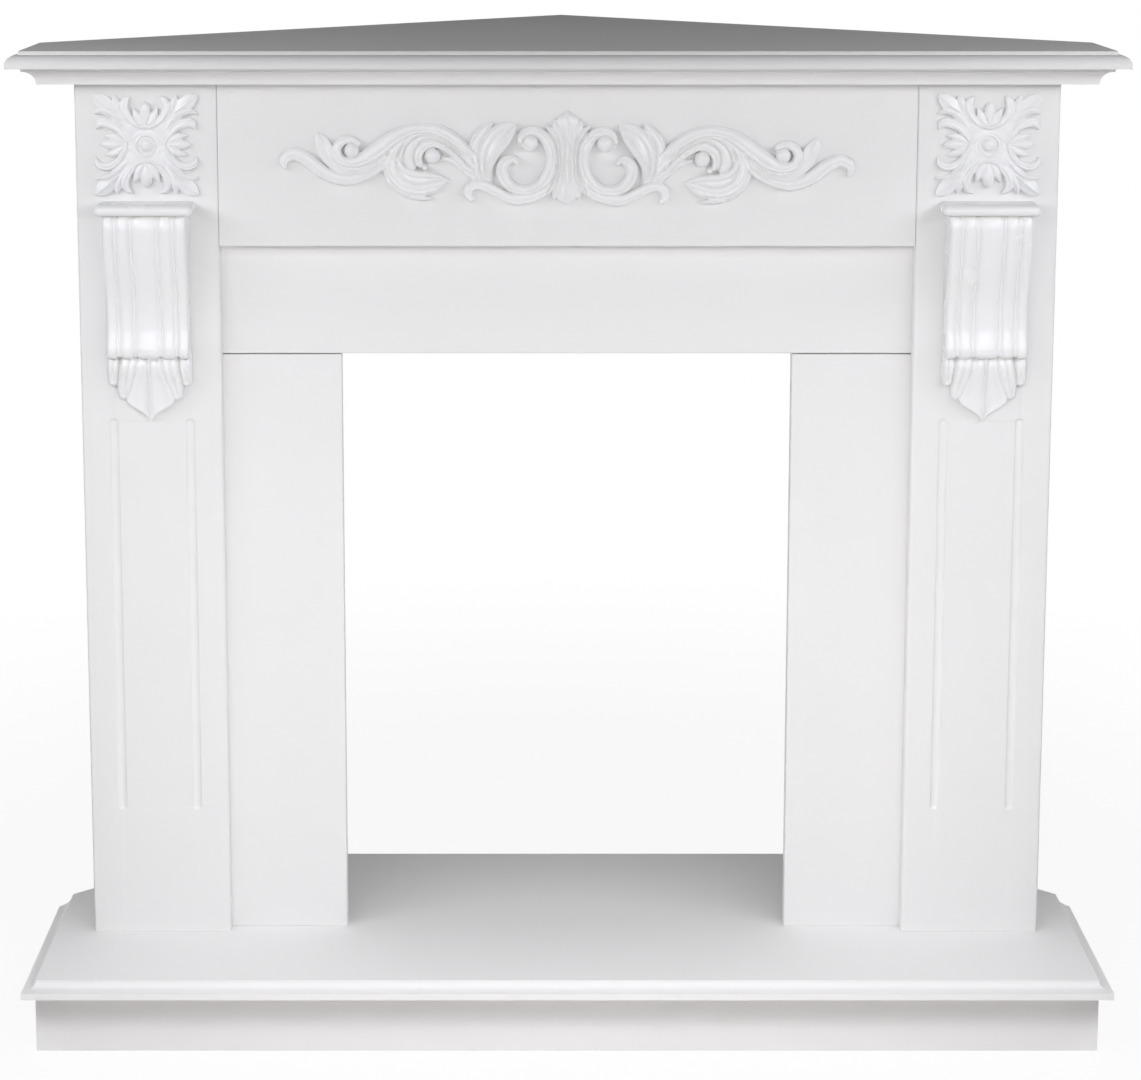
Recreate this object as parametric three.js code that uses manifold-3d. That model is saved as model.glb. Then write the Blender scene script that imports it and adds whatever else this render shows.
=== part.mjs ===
// White corner fireplace surround: a fluted and carved front on a hearth board,
// with a five-sided mantel shelf that reaches back into the corner of a room.
// Millimetres, +X to the right, +Y to the room corner, +Z up.

import * as THREE from 'three';
import { mergeVertices } from 'three/addons/utils/BufferGeometryUtils.js';
import Module from 'manifold-3d';

const wasm = await Module();
wasm.setup();

// ---------------------------------------------------------------------------
// Driving dimensions
// ---------------------------------------------------------------------------

const GLUE = 0.2;              // glue line or clearance between seated pieces
const BOARD = 16;              // thickness of the panels and boards
const WALL_APEX = 645;         // room corner, behind the face of the pilasters
const WALL_SETBACK = 2;        // hidden boards stay this far off the walls

const SHELF_TOP = 1000;        // height of the whole surround
const SHELF_THICK = 17;
const SHELF_HALF = 540;        // half width of the flat top, inside the moulding
const SHELF_OVERHANG = 34.7;   // flat top, in front of the pilasters
const SHELF_MOULD_OUT = 12;
const SHELF_FILLET = 3.5;      // square quirk above the ovolo
const SHELF_QUIRK = 1.5;       // step between quirk and ovolo
const SHELF_NOSE = 3;          // upright band below the ovolo

const CORNICE_THICK = 16.5;
const CORNICE_HALF = 525;      // half width at the foot of the cove
const CORNICE_OVERHANG = 20.5; // foot of the cove, in front of the pilasters
const CORNICE_MOULD_OUT = 13;
const CORNICE_FILLET = 3;

const HEARTH_TOP = 83.3;
const HEARTH_HALF = 530.4;     // half width of the flat top
const HEARTH_REACH = 139.5;    // flat top, in front of the pilasters
const HEARTH_REAR = 249;       // straight rear edge, behind the pilasters' face
const HEARTH_MOULD_OUT = 13;
const HEARTH_COVE = 8;         // depth of the cove on its edge
const HEARTH_QUIRK = 1.2;      // small step at the top of that cove

const PLINTH_END_INSET = 8.4;  // ends, in from the hearth's edge
const PLINTH_FRONT_INSET = 35.5;
const PLINTH_REAR_INSET = 10;  // rear boards, in from the hearth's edges
const BEARER_AT = 200;         // inner bearers, off the centre line
const BLOCK_LEG = 45;          // corner blocks inside the plinth

const PILASTER_HALF = 491;     // outer edge, off the centre line
const PILASTER_WIDE = 142;
const PILASTER_ROUND = 2.5;    // rounded upright edges
const FLUTE_AT = 38.6;         // each flute, off the pilaster's middle
const FLUTE_WIDE = 9.5;
const FLUTE_DEEP = 2.5;
const FLUTE_LOW = 215.3;
const FLUTE_DROP = 373;        // upper end of the flutes, below the shelf's top

const FRIEZE_DROP = 197.5;     // lower edge of the frieze, below the shelf's top
const FRIEZE_ROUND = 2;
const OPENING_HALF = 228.3;
const OPENING_DROP = 308.7;    // top of the opening, below the shelf's top
const PANEL_ROUND = 1.5;
const PANEL_LINE = 1;          // open line between header and side panels

const SIDE_INSET = 2;          // side boards, in from the pilasters' edges
const BATTEN = 20;             // square corner battens
const WALL_RAIL_HIGH = 60;

const BRACKET_LEG = 40;
const BRACKET_WIDE = 30;
const BRACKET_THICK = 2.5;
const BRACKET_TOP_AT = 200;    // brackets under the cornice, off the centre line
const BRACKET_FOOT_INSET = 122.8; // brackets on the hearth, in from the side boards
const SCREW_R = 2;
const SCREW_HEAD_R = 4.2;
const SCREW_HEAD_HIGH = 2.4;
const SCREW_LONG = 14;         // shank below the head
const SCREW_ALONG = 26;        // screw, from the bracket's bend
const SCREW_APART = 14;        // the two screws of one leg

const DRAWING_UNIT = 1;        // one unit of the carvings' drawings below
const SCROLL_DROP = 108;       // middle of the carved scroll, below the shelf's top
const SCROLL_TILT = -0.7;      // degrees, right end down
const ROSETTE_ABOVE_CAP = 57;  // middle of a rosette, above the corbel's cap
const CORBEL_CAP_DROP = 151.5; // top of the corbel's cap, below the shelf's top
const CORBEL_CAP_HIGH = 11;
const CORBEL_CAP_WIDE = 98;
const CORBEL_CAP_OUT = 42;
const CORBEL_WIDE = 83;
const CORBEL_RIBS_HIGH = 148.3; // ribs, from the leaf to the cap

// Derived places
const shelfLow = SHELF_TOP - SHELF_THICK;
const corniceTop = shelfLow - GLUE;
const corniceLow = corniceTop - CORNICE_THICK;
const frameTop = corniceLow - GLUE;
const frameLow = HEARTH_TOP + GLUE;
const plinthTop = HEARTH_TOP - BOARD - GLUE;
const pilasterMid = PILASTER_HALF - PILASTER_WIDE / 2;
const pilasterInner = PILASTER_HALF - PILASTER_WIDE;
const panelFace = BOARD + GLUE;
const panelBack = panelFace + BOARD;
const sideOuter = PILASTER_HALF - SIDE_INSET;
const sideInner = sideOuter - BOARD;
const panelEdge = sideInner - GLUE;
const frontReach = HEARTH_REACH + HEARTH_MOULD_OUT;
const plinthHalf = HEARTH_HALF + HEARTH_MOULD_OUT - PLINTH_END_INSET;
const plinthFront = frontReach - PLINTH_FRONT_INSET;
const capTop = SHELF_TOP - CORBEL_CAP_DROP;
const capLow = capTop - CORBEL_CAP_HIGH;
const ribsLow = capLow - GLUE - CORBEL_RIBS_HIGH;
const rosetteZ = capTop + ROSETTE_ABOVE_CAP;
const scrollZ = SHELF_TOP - SCROLL_DROP;
const friezeLow = SHELF_TOP - FRIEZE_DROP;
const openingHigh = SHELF_TOP - OPENING_DROP;
const fluteHigh = SHELF_TOP - FLUTE_DROP;
const wallLine = WALL_APEX - WALL_SETBACK;
const bracketFootAt = panelEdge - BRACKET_FOOT_INSET;

// ---------------------------------------------------------------------------
// Finishes
// ---------------------------------------------------------------------------

function finish(color, roughness, metalness = 0) {
  return new THREE.MeshStandardMaterial({ color, roughness, metalness });
}

const lacquer = finish(0xf1f1ee, 0.42);
const rawBoard = finish(0xb99b74, 0.85);
const casting = finish(0xf6f4f0, 0.3);
const timber = finish(0xcaa878, 0.8);
const zinc = finish(0xb9bcc0, 0.35, 0.9);

// ---------------------------------------------------------------------------
// Geometry helpers
// ---------------------------------------------------------------------------

/** Keeps positions alone, shares equal vertices and drops the triangles that collapse. */
function positionsOnly(geometry) {
  const bare = geometry.clone();
  bare.deleteAttribute('normal');
  bare.deleteAttribute('uv');
  const merged = mergeVertices(bare, 1e-4);
  const kept = [];
  for (let k = 0; k < merged.index.count; k += 3) {
    const [a, b, c] = [0, 1, 2].map((j) => merged.index.getX(k + j));
    if (a !== b && b !== c && c !== a) kept.push(a, b, c);
  }
  merged.setIndex(kept);
  return merged;
}

function toSolid(geometry) {
  const merged = positionsOnly(geometry);
  return new wasm.Manifold(new wasm.Mesh({
    numProp: 3,
    vertProperties: new Float32Array(merged.attributes.position.array),
    triVerts: new Uint32Array(merged.index.array),
  }));
}

function fromSolid(solid) {
  const mesh = solid.getMesh();
  const geometry = new THREE.BufferGeometry();
  geometry.setAttribute('position', new THREE.BufferAttribute(mesh.vertProperties, 3));
  geometry.setIndex(new THREE.BufferAttribute(mesh.triVerts, 1));
  return geometry;
}

function cut(geometry, tools) {
  const solid = tools.reduce((body, tool) => body.subtract(toSolid(tool)), toSolid(geometry));
  return fromSolid(solid);
}

function join(geometries) {
  return fromSolid(wasm.Manifold.union(geometries.map(toSolid)));
}

/** A closed body through rings of equal point count, each ring a list of Vector3. */
function loft(rings) {
  const count = rings[0].length;
  const points = rings.flat();
  const indices = [];
  const quad = (a, b, c, d) => indices.push(a, b, c, a, c, d);
  for (let r = 0; r + 1 < rings.length; r++) {
    for (let i = 0; i < count; i++) {
      const next = (i + 1) % count;
      quad(r * count + i, r * count + next, (r + 1) * count + next, (r + 1) * count + i);
    }
  }
  const last = points.length - count;
  for (const [a, b, c] of capTriangles(rings[0])) indices.push(a, c, b);
  for (const [a, b, c] of capTriangles(rings.at(-1))) indices.push(last + a, last + b, last + c);
  const geometry = new THREE.BufferGeometry().setFromPoints(points);
  geometry.setIndex(indices);
  return facesOut(geometry);
}

/** Triangles of a flat ring, all turning the way the ring does. */
function capTriangles(ring) {
  const normal = new THREE.Vector3();
  ring.forEach((p, i) => normal.add(new THREE.Vector3().crossVectors(p, ring[(i + 1) % ring.length])));
  const turn = new THREE.Quaternion().setFromUnitVectors(normal.normalize(), new THREE.Vector3(0, 0, 1));
  const flat = ring.map((p) => {
    const q = p.clone().applyQuaternion(turn);
    return new THREE.Vector2(q.x, q.y);
  });
  return THREE.ShapeUtils.triangulateShape(flat, []).map(([a, b, c]) => {
    const area = flat[b].clone().sub(flat[a]).cross(flat[c].clone().sub(flat[a]));
    return area < 0 ? [a, c, b] : [a, b, c];
  });
}

/** Turns a closed body's faces outwards when its signed volume is negative. */
function facesOut(geometry) {
  const at = geometry.attributes.position;
  const index = Array.from(geometry.index.array);
  const corner = (k) => new THREE.Vector3().fromBufferAttribute(at, index[k]);
  let volume = 0;
  for (let k = 0; k < index.length; k += 3) {
    volume += corner(k).dot(corner(k + 1).cross(corner(k + 2)));
  }
  if (volume < 0) {
    for (let k = 0; k < index.length; k += 3) {
      [index[k + 1], index[k + 2]] = [index[k + 2], index[k + 1]];
    }
  }
  geometry.setIndex(index);
  return geometry;
}

const MOULDING_STEPS = 5;      // facets of a moulding's curve
const EDGE_STEPS = 3;          // facets of a board's rounded edge
const BAR_STEPS = 6;           // facets of a bar's rounded edge

const shapeOf = (outline) => new THREE.Shape(outline.map(([x, y]) => new THREE.Vector2(x, y)));

/** Prism of a plan shape, standing on z = 0. */
function prism(shape, height) {
  return new THREE.ExtrudeGeometry(shape, { depth: height, bevelEnabled: false, curveSegments: EDGE_STEPS });
}

/** Bar along +X from x = 0, whose shape is drawn in Y and Z. */
function bar(shape, length) {
  const settings = { depth: length, bevelEnabled: false, curveSegments: BAR_STEPS };
  const geometry = new THREE.ExtrudeGeometry(shape, settings);
  const axes = new THREE.Matrix4().makeBasis(
    new THREE.Vector3(0, 1, 0),
    new THREE.Vector3(0, 0, 1),
    new THREE.Vector3(1, 0, 0),
  );
  return geometry.applyMatrix4(axes);
}

/** Block of a given size with its low corner at the origin. */
function block(wide, deep, high) {
  return new THREE.BoxGeometry(wide, deep, high).translate(wide / 2, deep / 2, high / 2);
}

/** Board from x0 to x1 and y0 to y1, standing on z = 0, with rounded upright front edges. */
function roundedBoard(x0, x1, y0, y1, height, leftR, rightR = leftR) {
  const shape = new THREE.Shape();
  shape.moveTo(x0, y1);
  shape.lineTo(x0, y0 + leftR);
  if (leftR > 0) shape.absarc(x0 + leftR, y0 + leftR, leftR, Math.PI, 1.5 * Math.PI, false);
  shape.lineTo(x1 - rightR, y0);
  if (rightR > 0) shape.absarc(x1 - rightR, y0 + rightR, rightR, 1.5 * Math.PI, 2 * Math.PI, false);
  shape.lineTo(x1, y1);
  return prism(shape, height);
}

/** Outline of a board that fits the corner: square front, sides back to the walls, 45 degree rear. */
function cornerOutline(half, front, rear, wall) {
  const outline = [[-half, -front], [half, -front], [half, wall - half]];
  if (rear < wall) outline.push([wall - rear, rear], [rear - wall, rear]);
  else outline.push([0, wall]);
  outline.push([-half, wall - half]);
  return outline;
}

/** Corner board whose front and sides carry a moulding, given as [out, z] from bottom to top. */
function mouldedBoard(half, front, rear, wall, profile) {
  return loft(profile.map(([out, z]) => (
    cornerOutline(half + out, front + out, rear, wall).map(([x, y]) => new THREE.Vector3(x, y, z))
  )));
}

/** Points of an elliptical quarter, from one angle to another in degrees, as [out, z]. */
function quarter(outMid, zMid, outR, zR, from, to) {
  return Array.from({ length: MOULDING_STEPS + 1 }, (_, i) => {
    const angle = THREE.MathUtils.degToRad(from + (to - from) * i / MOULDING_STEPS);
    return [outMid + outR * Math.cos(angle), zMid + zR * Math.sin(angle)];
  });
}

/** Body of rotation about +Z from [radius, z] pairs that start and end on the axis. */
function turned(profile, sides) {
  const lathe = new THREE.LatheGeometry(profile.map(([r, z]) => new THREE.Vector2(r, z)), sides);
  lathe.rotateX(Math.PI / 2);
  return facesOut(positionsOnly(lathe));
}

// ---------------------------------------------------------------------------
// Carving: tapered half-round bands laid on a flat ground
// Local frame: u to the right, v up, relief towards +Z.
// ---------------------------------------------------------------------------

// Sections as [share of the half width, share of the height]
const RIDGED = [[-1, 0], [-0.72, 0.66], [0, 1], [0.72, 0.66], [1, 0]];
const FLAT_TOPPED = [[-1, 0], [-0.55, 0.85], [0.55, 0.85], [1, 0]];
const SCROLL_WORK = { section: RIDGED, step: 11 };
const FINE_WORK = { section: FLAT_TOPPED, step: 14 };
const FEWEST_STEPS = 3;
const THINNEST = 0.6;          // half width that a band's tip keeps
const TIP_HIGH = 0.45;         // height of a band at its thinnest, as a share of its relief
const BOSS_ROUND = [[1, 0], [0.8, 0.7], [0.45, 0.95]];
const BOSS_SIDES = 8;

/** A band through [u, v, half width] points, as high as its relief where it is full width. */
function band(points, relief, work) {
  const widest = Math.max(...points.map((p) => p[2]));
  const line = points.map((p) => new THREE.Vector3(...p));
  const curve = new THREE.CatmullRomCurve3(line, false, 'centripetal');
  const steps = Math.max(FEWEST_STEPS, Math.round(curve.getLength() / work.step));
  const rings = [];
  for (let i = 0; i <= steps; i++) {
    const at = curve.getPoint(i / steps);
    const along = curve.getTangent(i / steps).setZ(0).normalize();
    const half = Math.max(at.z, THINNEST);
    const high = relief * (TIP_HIGH + (1 - TIP_HIGH) * Math.sqrt(half / widest));
    rings.push(work.section.map(([s, t]) => new THREE.Vector3(
      at.x - along.y * s * half,
      at.y + along.x * s * half,
      t * high,
    ).multiplyScalar(DRAWING_UNIT)));
  }
  return loft(rings);
}

/** A round boss on the ground. */
function boss(u, v, radius, relief) {
  const profile = [[0, 0], ...BOSS_ROUND.map(([r, z]) => [radius * r, relief * z]), [0, relief]];
  const scaled = profile.map(([r, z]) => [r * DRAWING_UNIT, z * DRAWING_UNIT]);
  return turned(scaled, BOSS_SIDES).translate(u * DRAWING_UNIT, v * DRAWING_UNIT, 0);
}

const mirrorBand = (points) => points.map(([u, v, half]) => [-u, v, half]);

/** One carved body from bands and bosses, with the mirrored half added. */
function carving({ middle, sides, bosses, work }) {
  const pieces = middle.map(([relief, points]) => band(points, relief, work));
  for (const [relief, points] of sides) {
    pieces.push(band(points, relief, work), band(mirrorBand(points), relief, work));
  }
  for (const [u, v, radius, relief] of bosses) {
    pieces.push(boss(u, v, radius, relief));
    if (u !== 0) pieces.push(boss(-u, v, radius, relief));
  }
  return join(pieces);
}

// Scroll on the frieze: palmettes on the middle line
const scrollMiddle = [
  [10, [[0, -6, 11], [0, 6, 10], [0, 20, 7.5], [0, 34, 10], [0, 40, 6], [0, 44.5, 1]]],
  [10, [[0, 0, 10.5], [0, -20, 8], [0, -34, 9], [0, -42, 6], [0, -47, 1]]],
];

// Scroll, right half: [relief, [u, v, half width]...]
const scrollSides = [
  [9, [[2, 12, 3], [7, 24, 4], [13, 31, 4], [18, 34.5, 1.2]]],
  [8, [[2, -16, 3], [6, -28, 4], [11, -37, 4], [16.5, -41.5, 1.2]]],
  // C scroll, from its curled eye round to its inner hook
  [13, [[45, 17, 3.5], [43, 24, 4.5], [35, 27.5, 5], [26, 25, 6], [18.5, 16, 7], [15.5, 4, 7],
    [16, -8, 7], [20, -19, 7], [28, -28, 6.5], [38, -32.5, 6], [48, -32.5, 6], [57, -28, 6.5],
    [62, -20, 7], [62, -11, 7], [58, -3.5, 6.5], [52.5, -3.5, 4.5]]],
  // Lower tail with its hooked bulb
  [11, [[20, -33, 3], [30, -39.5, 4.5], [42, -42.5, 5], [54, -42.5, 5.5], [66, -37.5, 6.5],
    [78, -30.5, 8], [88, -28, 7.5], [96, -30, 7], [98, -36, 6.5], [94, -41, 4]]],
  // Two acanthus lobes
  [12, [[77, -18, 4], [78, -4, 6], [73, 8, 9], [65, 18, 11], [57, 26, 8], [51, 31, 2]]],
  [11, [[80, -22, 4], [86, -8, 7], [87, 6, 8], [83, 18, 8], [77, 28, 6], [73, 34, 2]]],
  // Main S band, which ends in the outer volute
  [13, [[94, 9, 7], [104, 13, 6.5], [114, 19, 7], [126, 25.5, 7], [140, 28.5, 6.5], [155, 27.5, 6],
    [167, 23, 6.5], [178, 15.5, 7.5], [189, 6.5, 8.5], [200, -1, 8], [208, -5, 6], [216, -6, 5],
    [223, -3, 4.5], [228, 4, 5], [226, 12, 5.5], [218, 16, 5], [211, 13, 5]]],
  [11, [[96, 3, 4], [108, 10.5, 4], [120, 18, 4], [132, 21, 4], [144, 21.5, 4], [154, 17.5, 4.5],
    [161, 10, 5], [164, 0, 5], [162, -10, 4.5], [156, -16, 3.5]]],
  [10, [[94, -17, 4], [104, -7, 5], [112, 2.5, 5], [121, 10, 5], [132, 13.5, 4.5], [142, 12, 5],
    [149, 6, 6], [152.5, -1, 7.5], [152.5, -8, 6], [152, -12, 3]]],
  [7, [[92, -22, 3], [105, -12, 3.5], [115, -5, 3.5], [125, -1, 2]]],
  // Leaf that turns down and back
  [11, [[160, 18, 4], [169, 10, 6], [174, 0, 8], [174, -12, 8.5], [169, -22, 9], [158, -28.5, 9],
    [145, -28.5, 9], [132, -26.5, 8], [122, -25, 4], [117, -24.5, 1]]],
  [9, [[168, -6, 3], [160, -15, 3.5], [150, -17, 4], [140, -16.5, 3.5], [130, -18, 3],
    [120, -22.5, 2]]],
  [8, [[180, -4, 2.5], [179, -18, 3.5], [171, -31, 3.5], [158, -39, 3], [145, -41, 3],
    [134, -42, 2]]],
  // Leaf below the volute and the end tail
  [10, [[181, -4, 5], [193, -10, 5.5], [205, -14.5, 6], [218, -15.5, 6], [229, -11, 6],
    [236, -2, 7], [241, 8, 8], [245, 16, 6], [248.5, 23.5, 1.5]]],
  [10, [[182, -12, 4], [195, -18, 5], [208, -22.5, 5.5], [222, -23.5, 5.5], [236, -19.5, 6.5],
    [248, -12, 7.5], [260, -4, 8], [271, 0, 8], [279, -2, 7.5], [282, -7, 5], [281, -11, 3]]],
];
const scrollBosses = [[38, 14, 8.5, 13], [216, 6, 6.5, 13], [135, 1, 8.5, 12], [143, -11, 4, 9]];

// Rosette: buds above and below, four corner leaves, hooked arcs on each side
const rosetteMiddle = [
  [6, [[0, 9, 5], [0, 22, 5], [0, 32, 6.5], [0, 38, 5], [0, 41.5, 2]]],
  [6, [[0, -9, 5], [0, -22, 5], [0, -32, 7], [0, -37, 5], [0, -41, 2]]],
];
const rosetteSides = [
  [7, [[8, 8, 4], [18, 20, 5], [28, 31, 7], [38, 40, 8], [46, 45.5, 5], [51.5, 49.5, 1]]],
  [6, [[13, 15, 3], [23, 27, 4.5], [29, 38, 5], [32.5, 45, 4.5], [33.5, 49, 1.5]]],
  [6, [[6, 14, 3], [15, 21, 3.5], [21, 30, 4], [22, 38, 4.5], [19, 44, 4], [15.5, 47.5, 1.5]]],
  [6, [[15, 14, 2.5], [26, 26, 3.5], [36, 32, 4], [45, 33, 3.5], [52, 31.5, 1.5]]],
  [6, [[17, 0, 4], [21, 8, 3.5], [27, 16.5, 4.5], [35, 22, 5], [43, 23, 5.5], [49, 20.5, 6], [51, 18, 5]]],
  [4, [[0, 20, 2], [6, 23, 3], [10, 29, 3.5], [11, 35, 2.5]]],
  [7, [[8, -8, 4], [18, -21, 5], [28, -32, 7], [38, -39, 8], [46, -44, 5.5], [52, -48, 1.5]]],
  [6, [[13, -15, 3], [23, -27, 4.5], [30, -37, 5], [33.5, -44, 4], [34, -48, 1.5]]],
  [6, [[5, -16, 3], [13, -22, 3.5], [19.5, -31, 4], [21, -39, 4.5], [18, -44.5, 4], [14, -47.5, 1.5]]],
  [6, [[15, -15, 2.5], [26, -25.5, 3.5], [36, -30.5, 3.5], [45, -32, 3], [51, -31, 1.5]]],
  [6, [[17, 0, 4], [21, -8, 3.5], [26, -16, 4], [34, -21.5, 4.5], [42, -22.5, 4.5], [48, -19.5, 3],
    [50.5, -13, 1]]],
  [4, [[0, -21, 2], [6, -24, 3], [10, -30, 3.5], [11, -35.5, 2.5]]],
  [5, [[10, 0, 4], [24, 1, 4.5], [35, 1, 7.5], [41, 1, 6], [44, 1, 3]]],
  [4, [[21, 3, 2], [27, 8.5, 3], [33, 12, 3], [39, 11.5, 2.2]]],
  [4, [[21, -4, 2], [27, -9, 3], [33, -11, 3], [39, -10.5, 2.2]]],
];
const rosetteBosses = [[0, 0, 12, 5], [0, 0, 6.5, 8]];

// ---------------------------------------------------------------------------
// Boards of the surround
// ---------------------------------------------------------------------------

function mantelShelf() {
  const ovoloLow = SHELF_NOSE;
  const ovoloHigh = SHELF_THICK - SHELF_FILLET;
  return mouldedBoard(SHELF_HALF, SHELF_OVERHANG, WALL_APEX, WALL_APEX, [
    [SHELF_MOULD_OUT, 0],
    ...quarter(SHELF_QUIRK, ovoloLow, SHELF_MOULD_OUT - SHELF_QUIRK, ovoloHigh - ovoloLow, 0, 90),
    [0, ovoloHigh],
    [0, SHELF_THICK],
  ]);
}

function corniceBoard() {
  const coveHigh = CORNICE_THICK - CORNICE_FILLET;
  return mouldedBoard(CORNICE_HALF, CORNICE_OVERHANG, WALL_APEX, wallLine, [
    ...quarter(CORNICE_MOULD_OUT, 0, CORNICE_MOULD_OUT, coveHigh, 180, 90),
    [CORNICE_MOULD_OUT, CORNICE_THICK],
  ]);
}

function hearthBoard() {
  const coveLow = BOARD - HEARTH_QUIRK - HEARTH_COVE;
  return mouldedBoard(HEARTH_HALF, HEARTH_REACH, HEARTH_REAR, WALL_APEX, [
    [HEARTH_MOULD_OUT, 0],
    [HEARTH_MOULD_OUT, coveLow],
    ...quarter(HEARTH_MOULD_OUT, BOARD - HEARTH_QUIRK, HEARTH_MOULD_OUT, HEARTH_COVE, 270, 180),
    [0, BOARD],
  ].filter(distinct));
}

/** Drops a profile point that repeats the one before it. */
function distinct(point, i, all) {
  return i === 0 || Math.hypot(point[0] - all[i - 1][0], point[1] - all[i - 1][1]) > 1e-6;
}

const FLUTE_END_STEPS = 4;
const FLUTE_SIDES = 12;

/** Capsule along Z that cuts one round-ended flute into a face at y = 0. */
function fluteTool(x) {
  const radius = (FLUTE_WIDE ** 2 / 4 + FLUTE_DEEP ** 2) / (2 * FLUTE_DEEP);
  const reach = Math.sqrt(radius ** 2 - (radius - FLUTE_DEEP) ** 2);
  const straight = fluteHigh - FLUTE_LOW - 2 * reach;
  const capsule = new THREE.CapsuleGeometry(radius, straight, FLUTE_END_STEPS, FLUTE_SIDES);
  capsule.rotateX(Math.PI / 2);
  return capsule.translate(x, FLUTE_DEEP - radius, (FLUTE_LOW + fluteHigh) / 2 - frameLow);
}

function pilaster() {
  const half = PILASTER_WIDE / 2;
  const blank = roundedBoard(-half, half, 0, BOARD, frameTop - frameLow, PILASTER_ROUND);
  return cut(blank, [fluteTool(-FLUTE_AT), fluteTool(FLUTE_AT)]);
}

/** Board across the middle, with its lower front edge rounded. */
function dropEdgeBoard(half, height, round) {
  const shape = new THREE.Shape();
  shape.moveTo(BOARD, 0);
  shape.lineTo(BOARD, height);
  shape.lineTo(0, height);
  shape.lineTo(0, round);
  shape.absarc(round, round, round, Math.PI, 1.5 * Math.PI, false);
  return bar(shape, 2 * half).translate(-half, 0, 0);
}

function sideBoardOutline(side) {
  return mirrorOutline([
    [sideInner, panelFace], [sideOuter, panelFace],
    [sideOuter, wallLine - sideOuter], [sideInner, wallLine - sideInner],
  ], side);
}

function wallRailOutline(side) {
  const inner = wallLine - BOARD * Math.SQRT2;
  const end = panelEdge;
  return mirrorOutline([
    [end, inner - end], [end, wallLine - end], [GLUE, wallLine - GLUE], [GLUE, inner - GLUE],
  ], side);
}

function mirrorOutline(outline, side) {
  const turned = outline.map(([x, y]) => [side * x, y]);
  return side < 0 ? turned.reverse() : turned;
}

// Plinth: a ring of boards on edge under the hearth
const plinthBack = HEARTH_REAR - PLINTH_REAR_INSET;
const plinthWall = WALL_APEX - PLINTH_REAR_INSET * Math.SQRT2;
const plinthSideEnd = plinthWall - plinthHalf;
const plinthBackHalf = plinthWall - plinthBack;

/** Slanted rear board of the plinth, between the side board and the straight rear board. */
function plinthSlantOutline(side) {
  const inner = plinthWall - BOARD * Math.SQRT2;
  const sideEnd = plinthHalf - BOARD - GLUE;
  const rearEnd = plinthBack - BOARD - GLUE;
  return mirrorOutline([
    [sideEnd, inner - sideEnd], [sideEnd, plinthWall - sideEnd],
    [plinthWall - rearEnd, rearEnd], [inner - rearEnd, rearEnd],
  ], side);
}

/** Side board of the plinth, whose rear end is bevelled to the wall. */
function plinthSideOutline(side) {
  const inner = plinthHalf - BOARD;
  const front = -plinthFront + BOARD + GLUE;
  return mirrorOutline([
    [inner, front], [plinthHalf, front], [plinthHalf, plinthSideEnd], [inner, plinthWall - inner],
  ], side);
}

/** Straight rear board of the plinth, with both ends bevelled to the walls. */
function plinthRearOutline() {
  const front = plinthBack - BOARD;
  const half = plinthWall - front;
  return [[-half, front], [half, front], [plinthBackHalf, plinthBack], [-plinthBackHalf, plinthBack]];
}

// ---------------------------------------------------------------------------
// Corbel: a ribbed S-shaped bracket over a leaf, below a bull-nosed cap
// ---------------------------------------------------------------------------

// [height above the foot of the ribs, reach in front of the pilaster]
const CORBEL_SIDE = [
  [0, 17], [2.5, 23], [10, 25], [30, 20], [55, 20.5], [80, 27], [105, 34], [125, 38], [140, 37.5], [148, 34],
];
const CORBEL_ROWS = 14;
const RIB_LINES = [-0.7, -0.34, 0.34, 0.7];   // grooves between the ribs, as shares of the half width
const RIB_GROOVE = 2.4;        // depth between ribs
const RIB_GROOVE_WIDE = 1.6;   // half width of a groove
const RIB_EDGE = 2;            // width of the rounding along the corbel's sides
const RIB_EDGE_LEVEL = 0.72;   // reach of the corbel's sides, as a share of the ribs'

function corbelRibs() {
  const half = CORBEL_WIDE / 2;
  const side = new THREE.SplineCurve(CORBEL_SIDE.map(([z, out]) => new THREE.Vector2(z, out)));
  const top = CORBEL_SIDE.at(-1)[0];
  const rows = side.getPoints(CORBEL_ROWS).map((p) => [p.x * CORBEL_RIBS_HIGH / top, p.y * DRAWING_UNIT]);
  // Across the corbel: [place, share of the reach, depth below it]
  const columns = [[-half, 0, 0], [-half, RIB_EDGE_LEVEL, 0], [RIB_EDGE - half, 1, 0]];
  for (const line of RIB_LINES) {
    const x = line * half;
    columns.push([x - RIB_GROOVE_WIDE, 1, 0], [x, 1, RIB_GROOVE], [x + RIB_GROOVE_WIDE, 1, 0]);
  }
  columns.push([half - RIB_EDGE, 1, 0], [half, RIB_EDGE_LEVEL, 0], [half, 0, 0]);
  return loft(rows.map(([z, out]) => (
    columns.map(([x, level, sunk]) => new THREE.Vector3(x, z, out * level - sunk))
  )));
}

// Leaf below the ribs: v from the foot of the ribs
const leafMiddle = [
  [15, [[0, 3, 20], [0, -14, 19], [0, -30, 16], [0, -44, 13], [0, -56, 7], [0, -65, 1.5]]],
];
const leafSides = [
  [17, [[32, 3, 9], [34, -10, 8.5], [36, -20, 7], [37.5, -27, 4], [38, -31.5, 1.5]]],
  [16, [[20, 3, 10], [23, -14, 9.5], [26, -27, 8], [28, -37, 5], [27.5, -45, 1.5]]],
  [14, [[9, -20, 8], [13, -36, 8], [16, -46, 6], [20, -53, 2]]],
];

function corbel() {
  const leaf = carving({ middle: leafMiddle, sides: leafSides, bosses: [], work: SCROLL_WORK });
  return join([corbelRibs(), leaf]);
}

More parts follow.
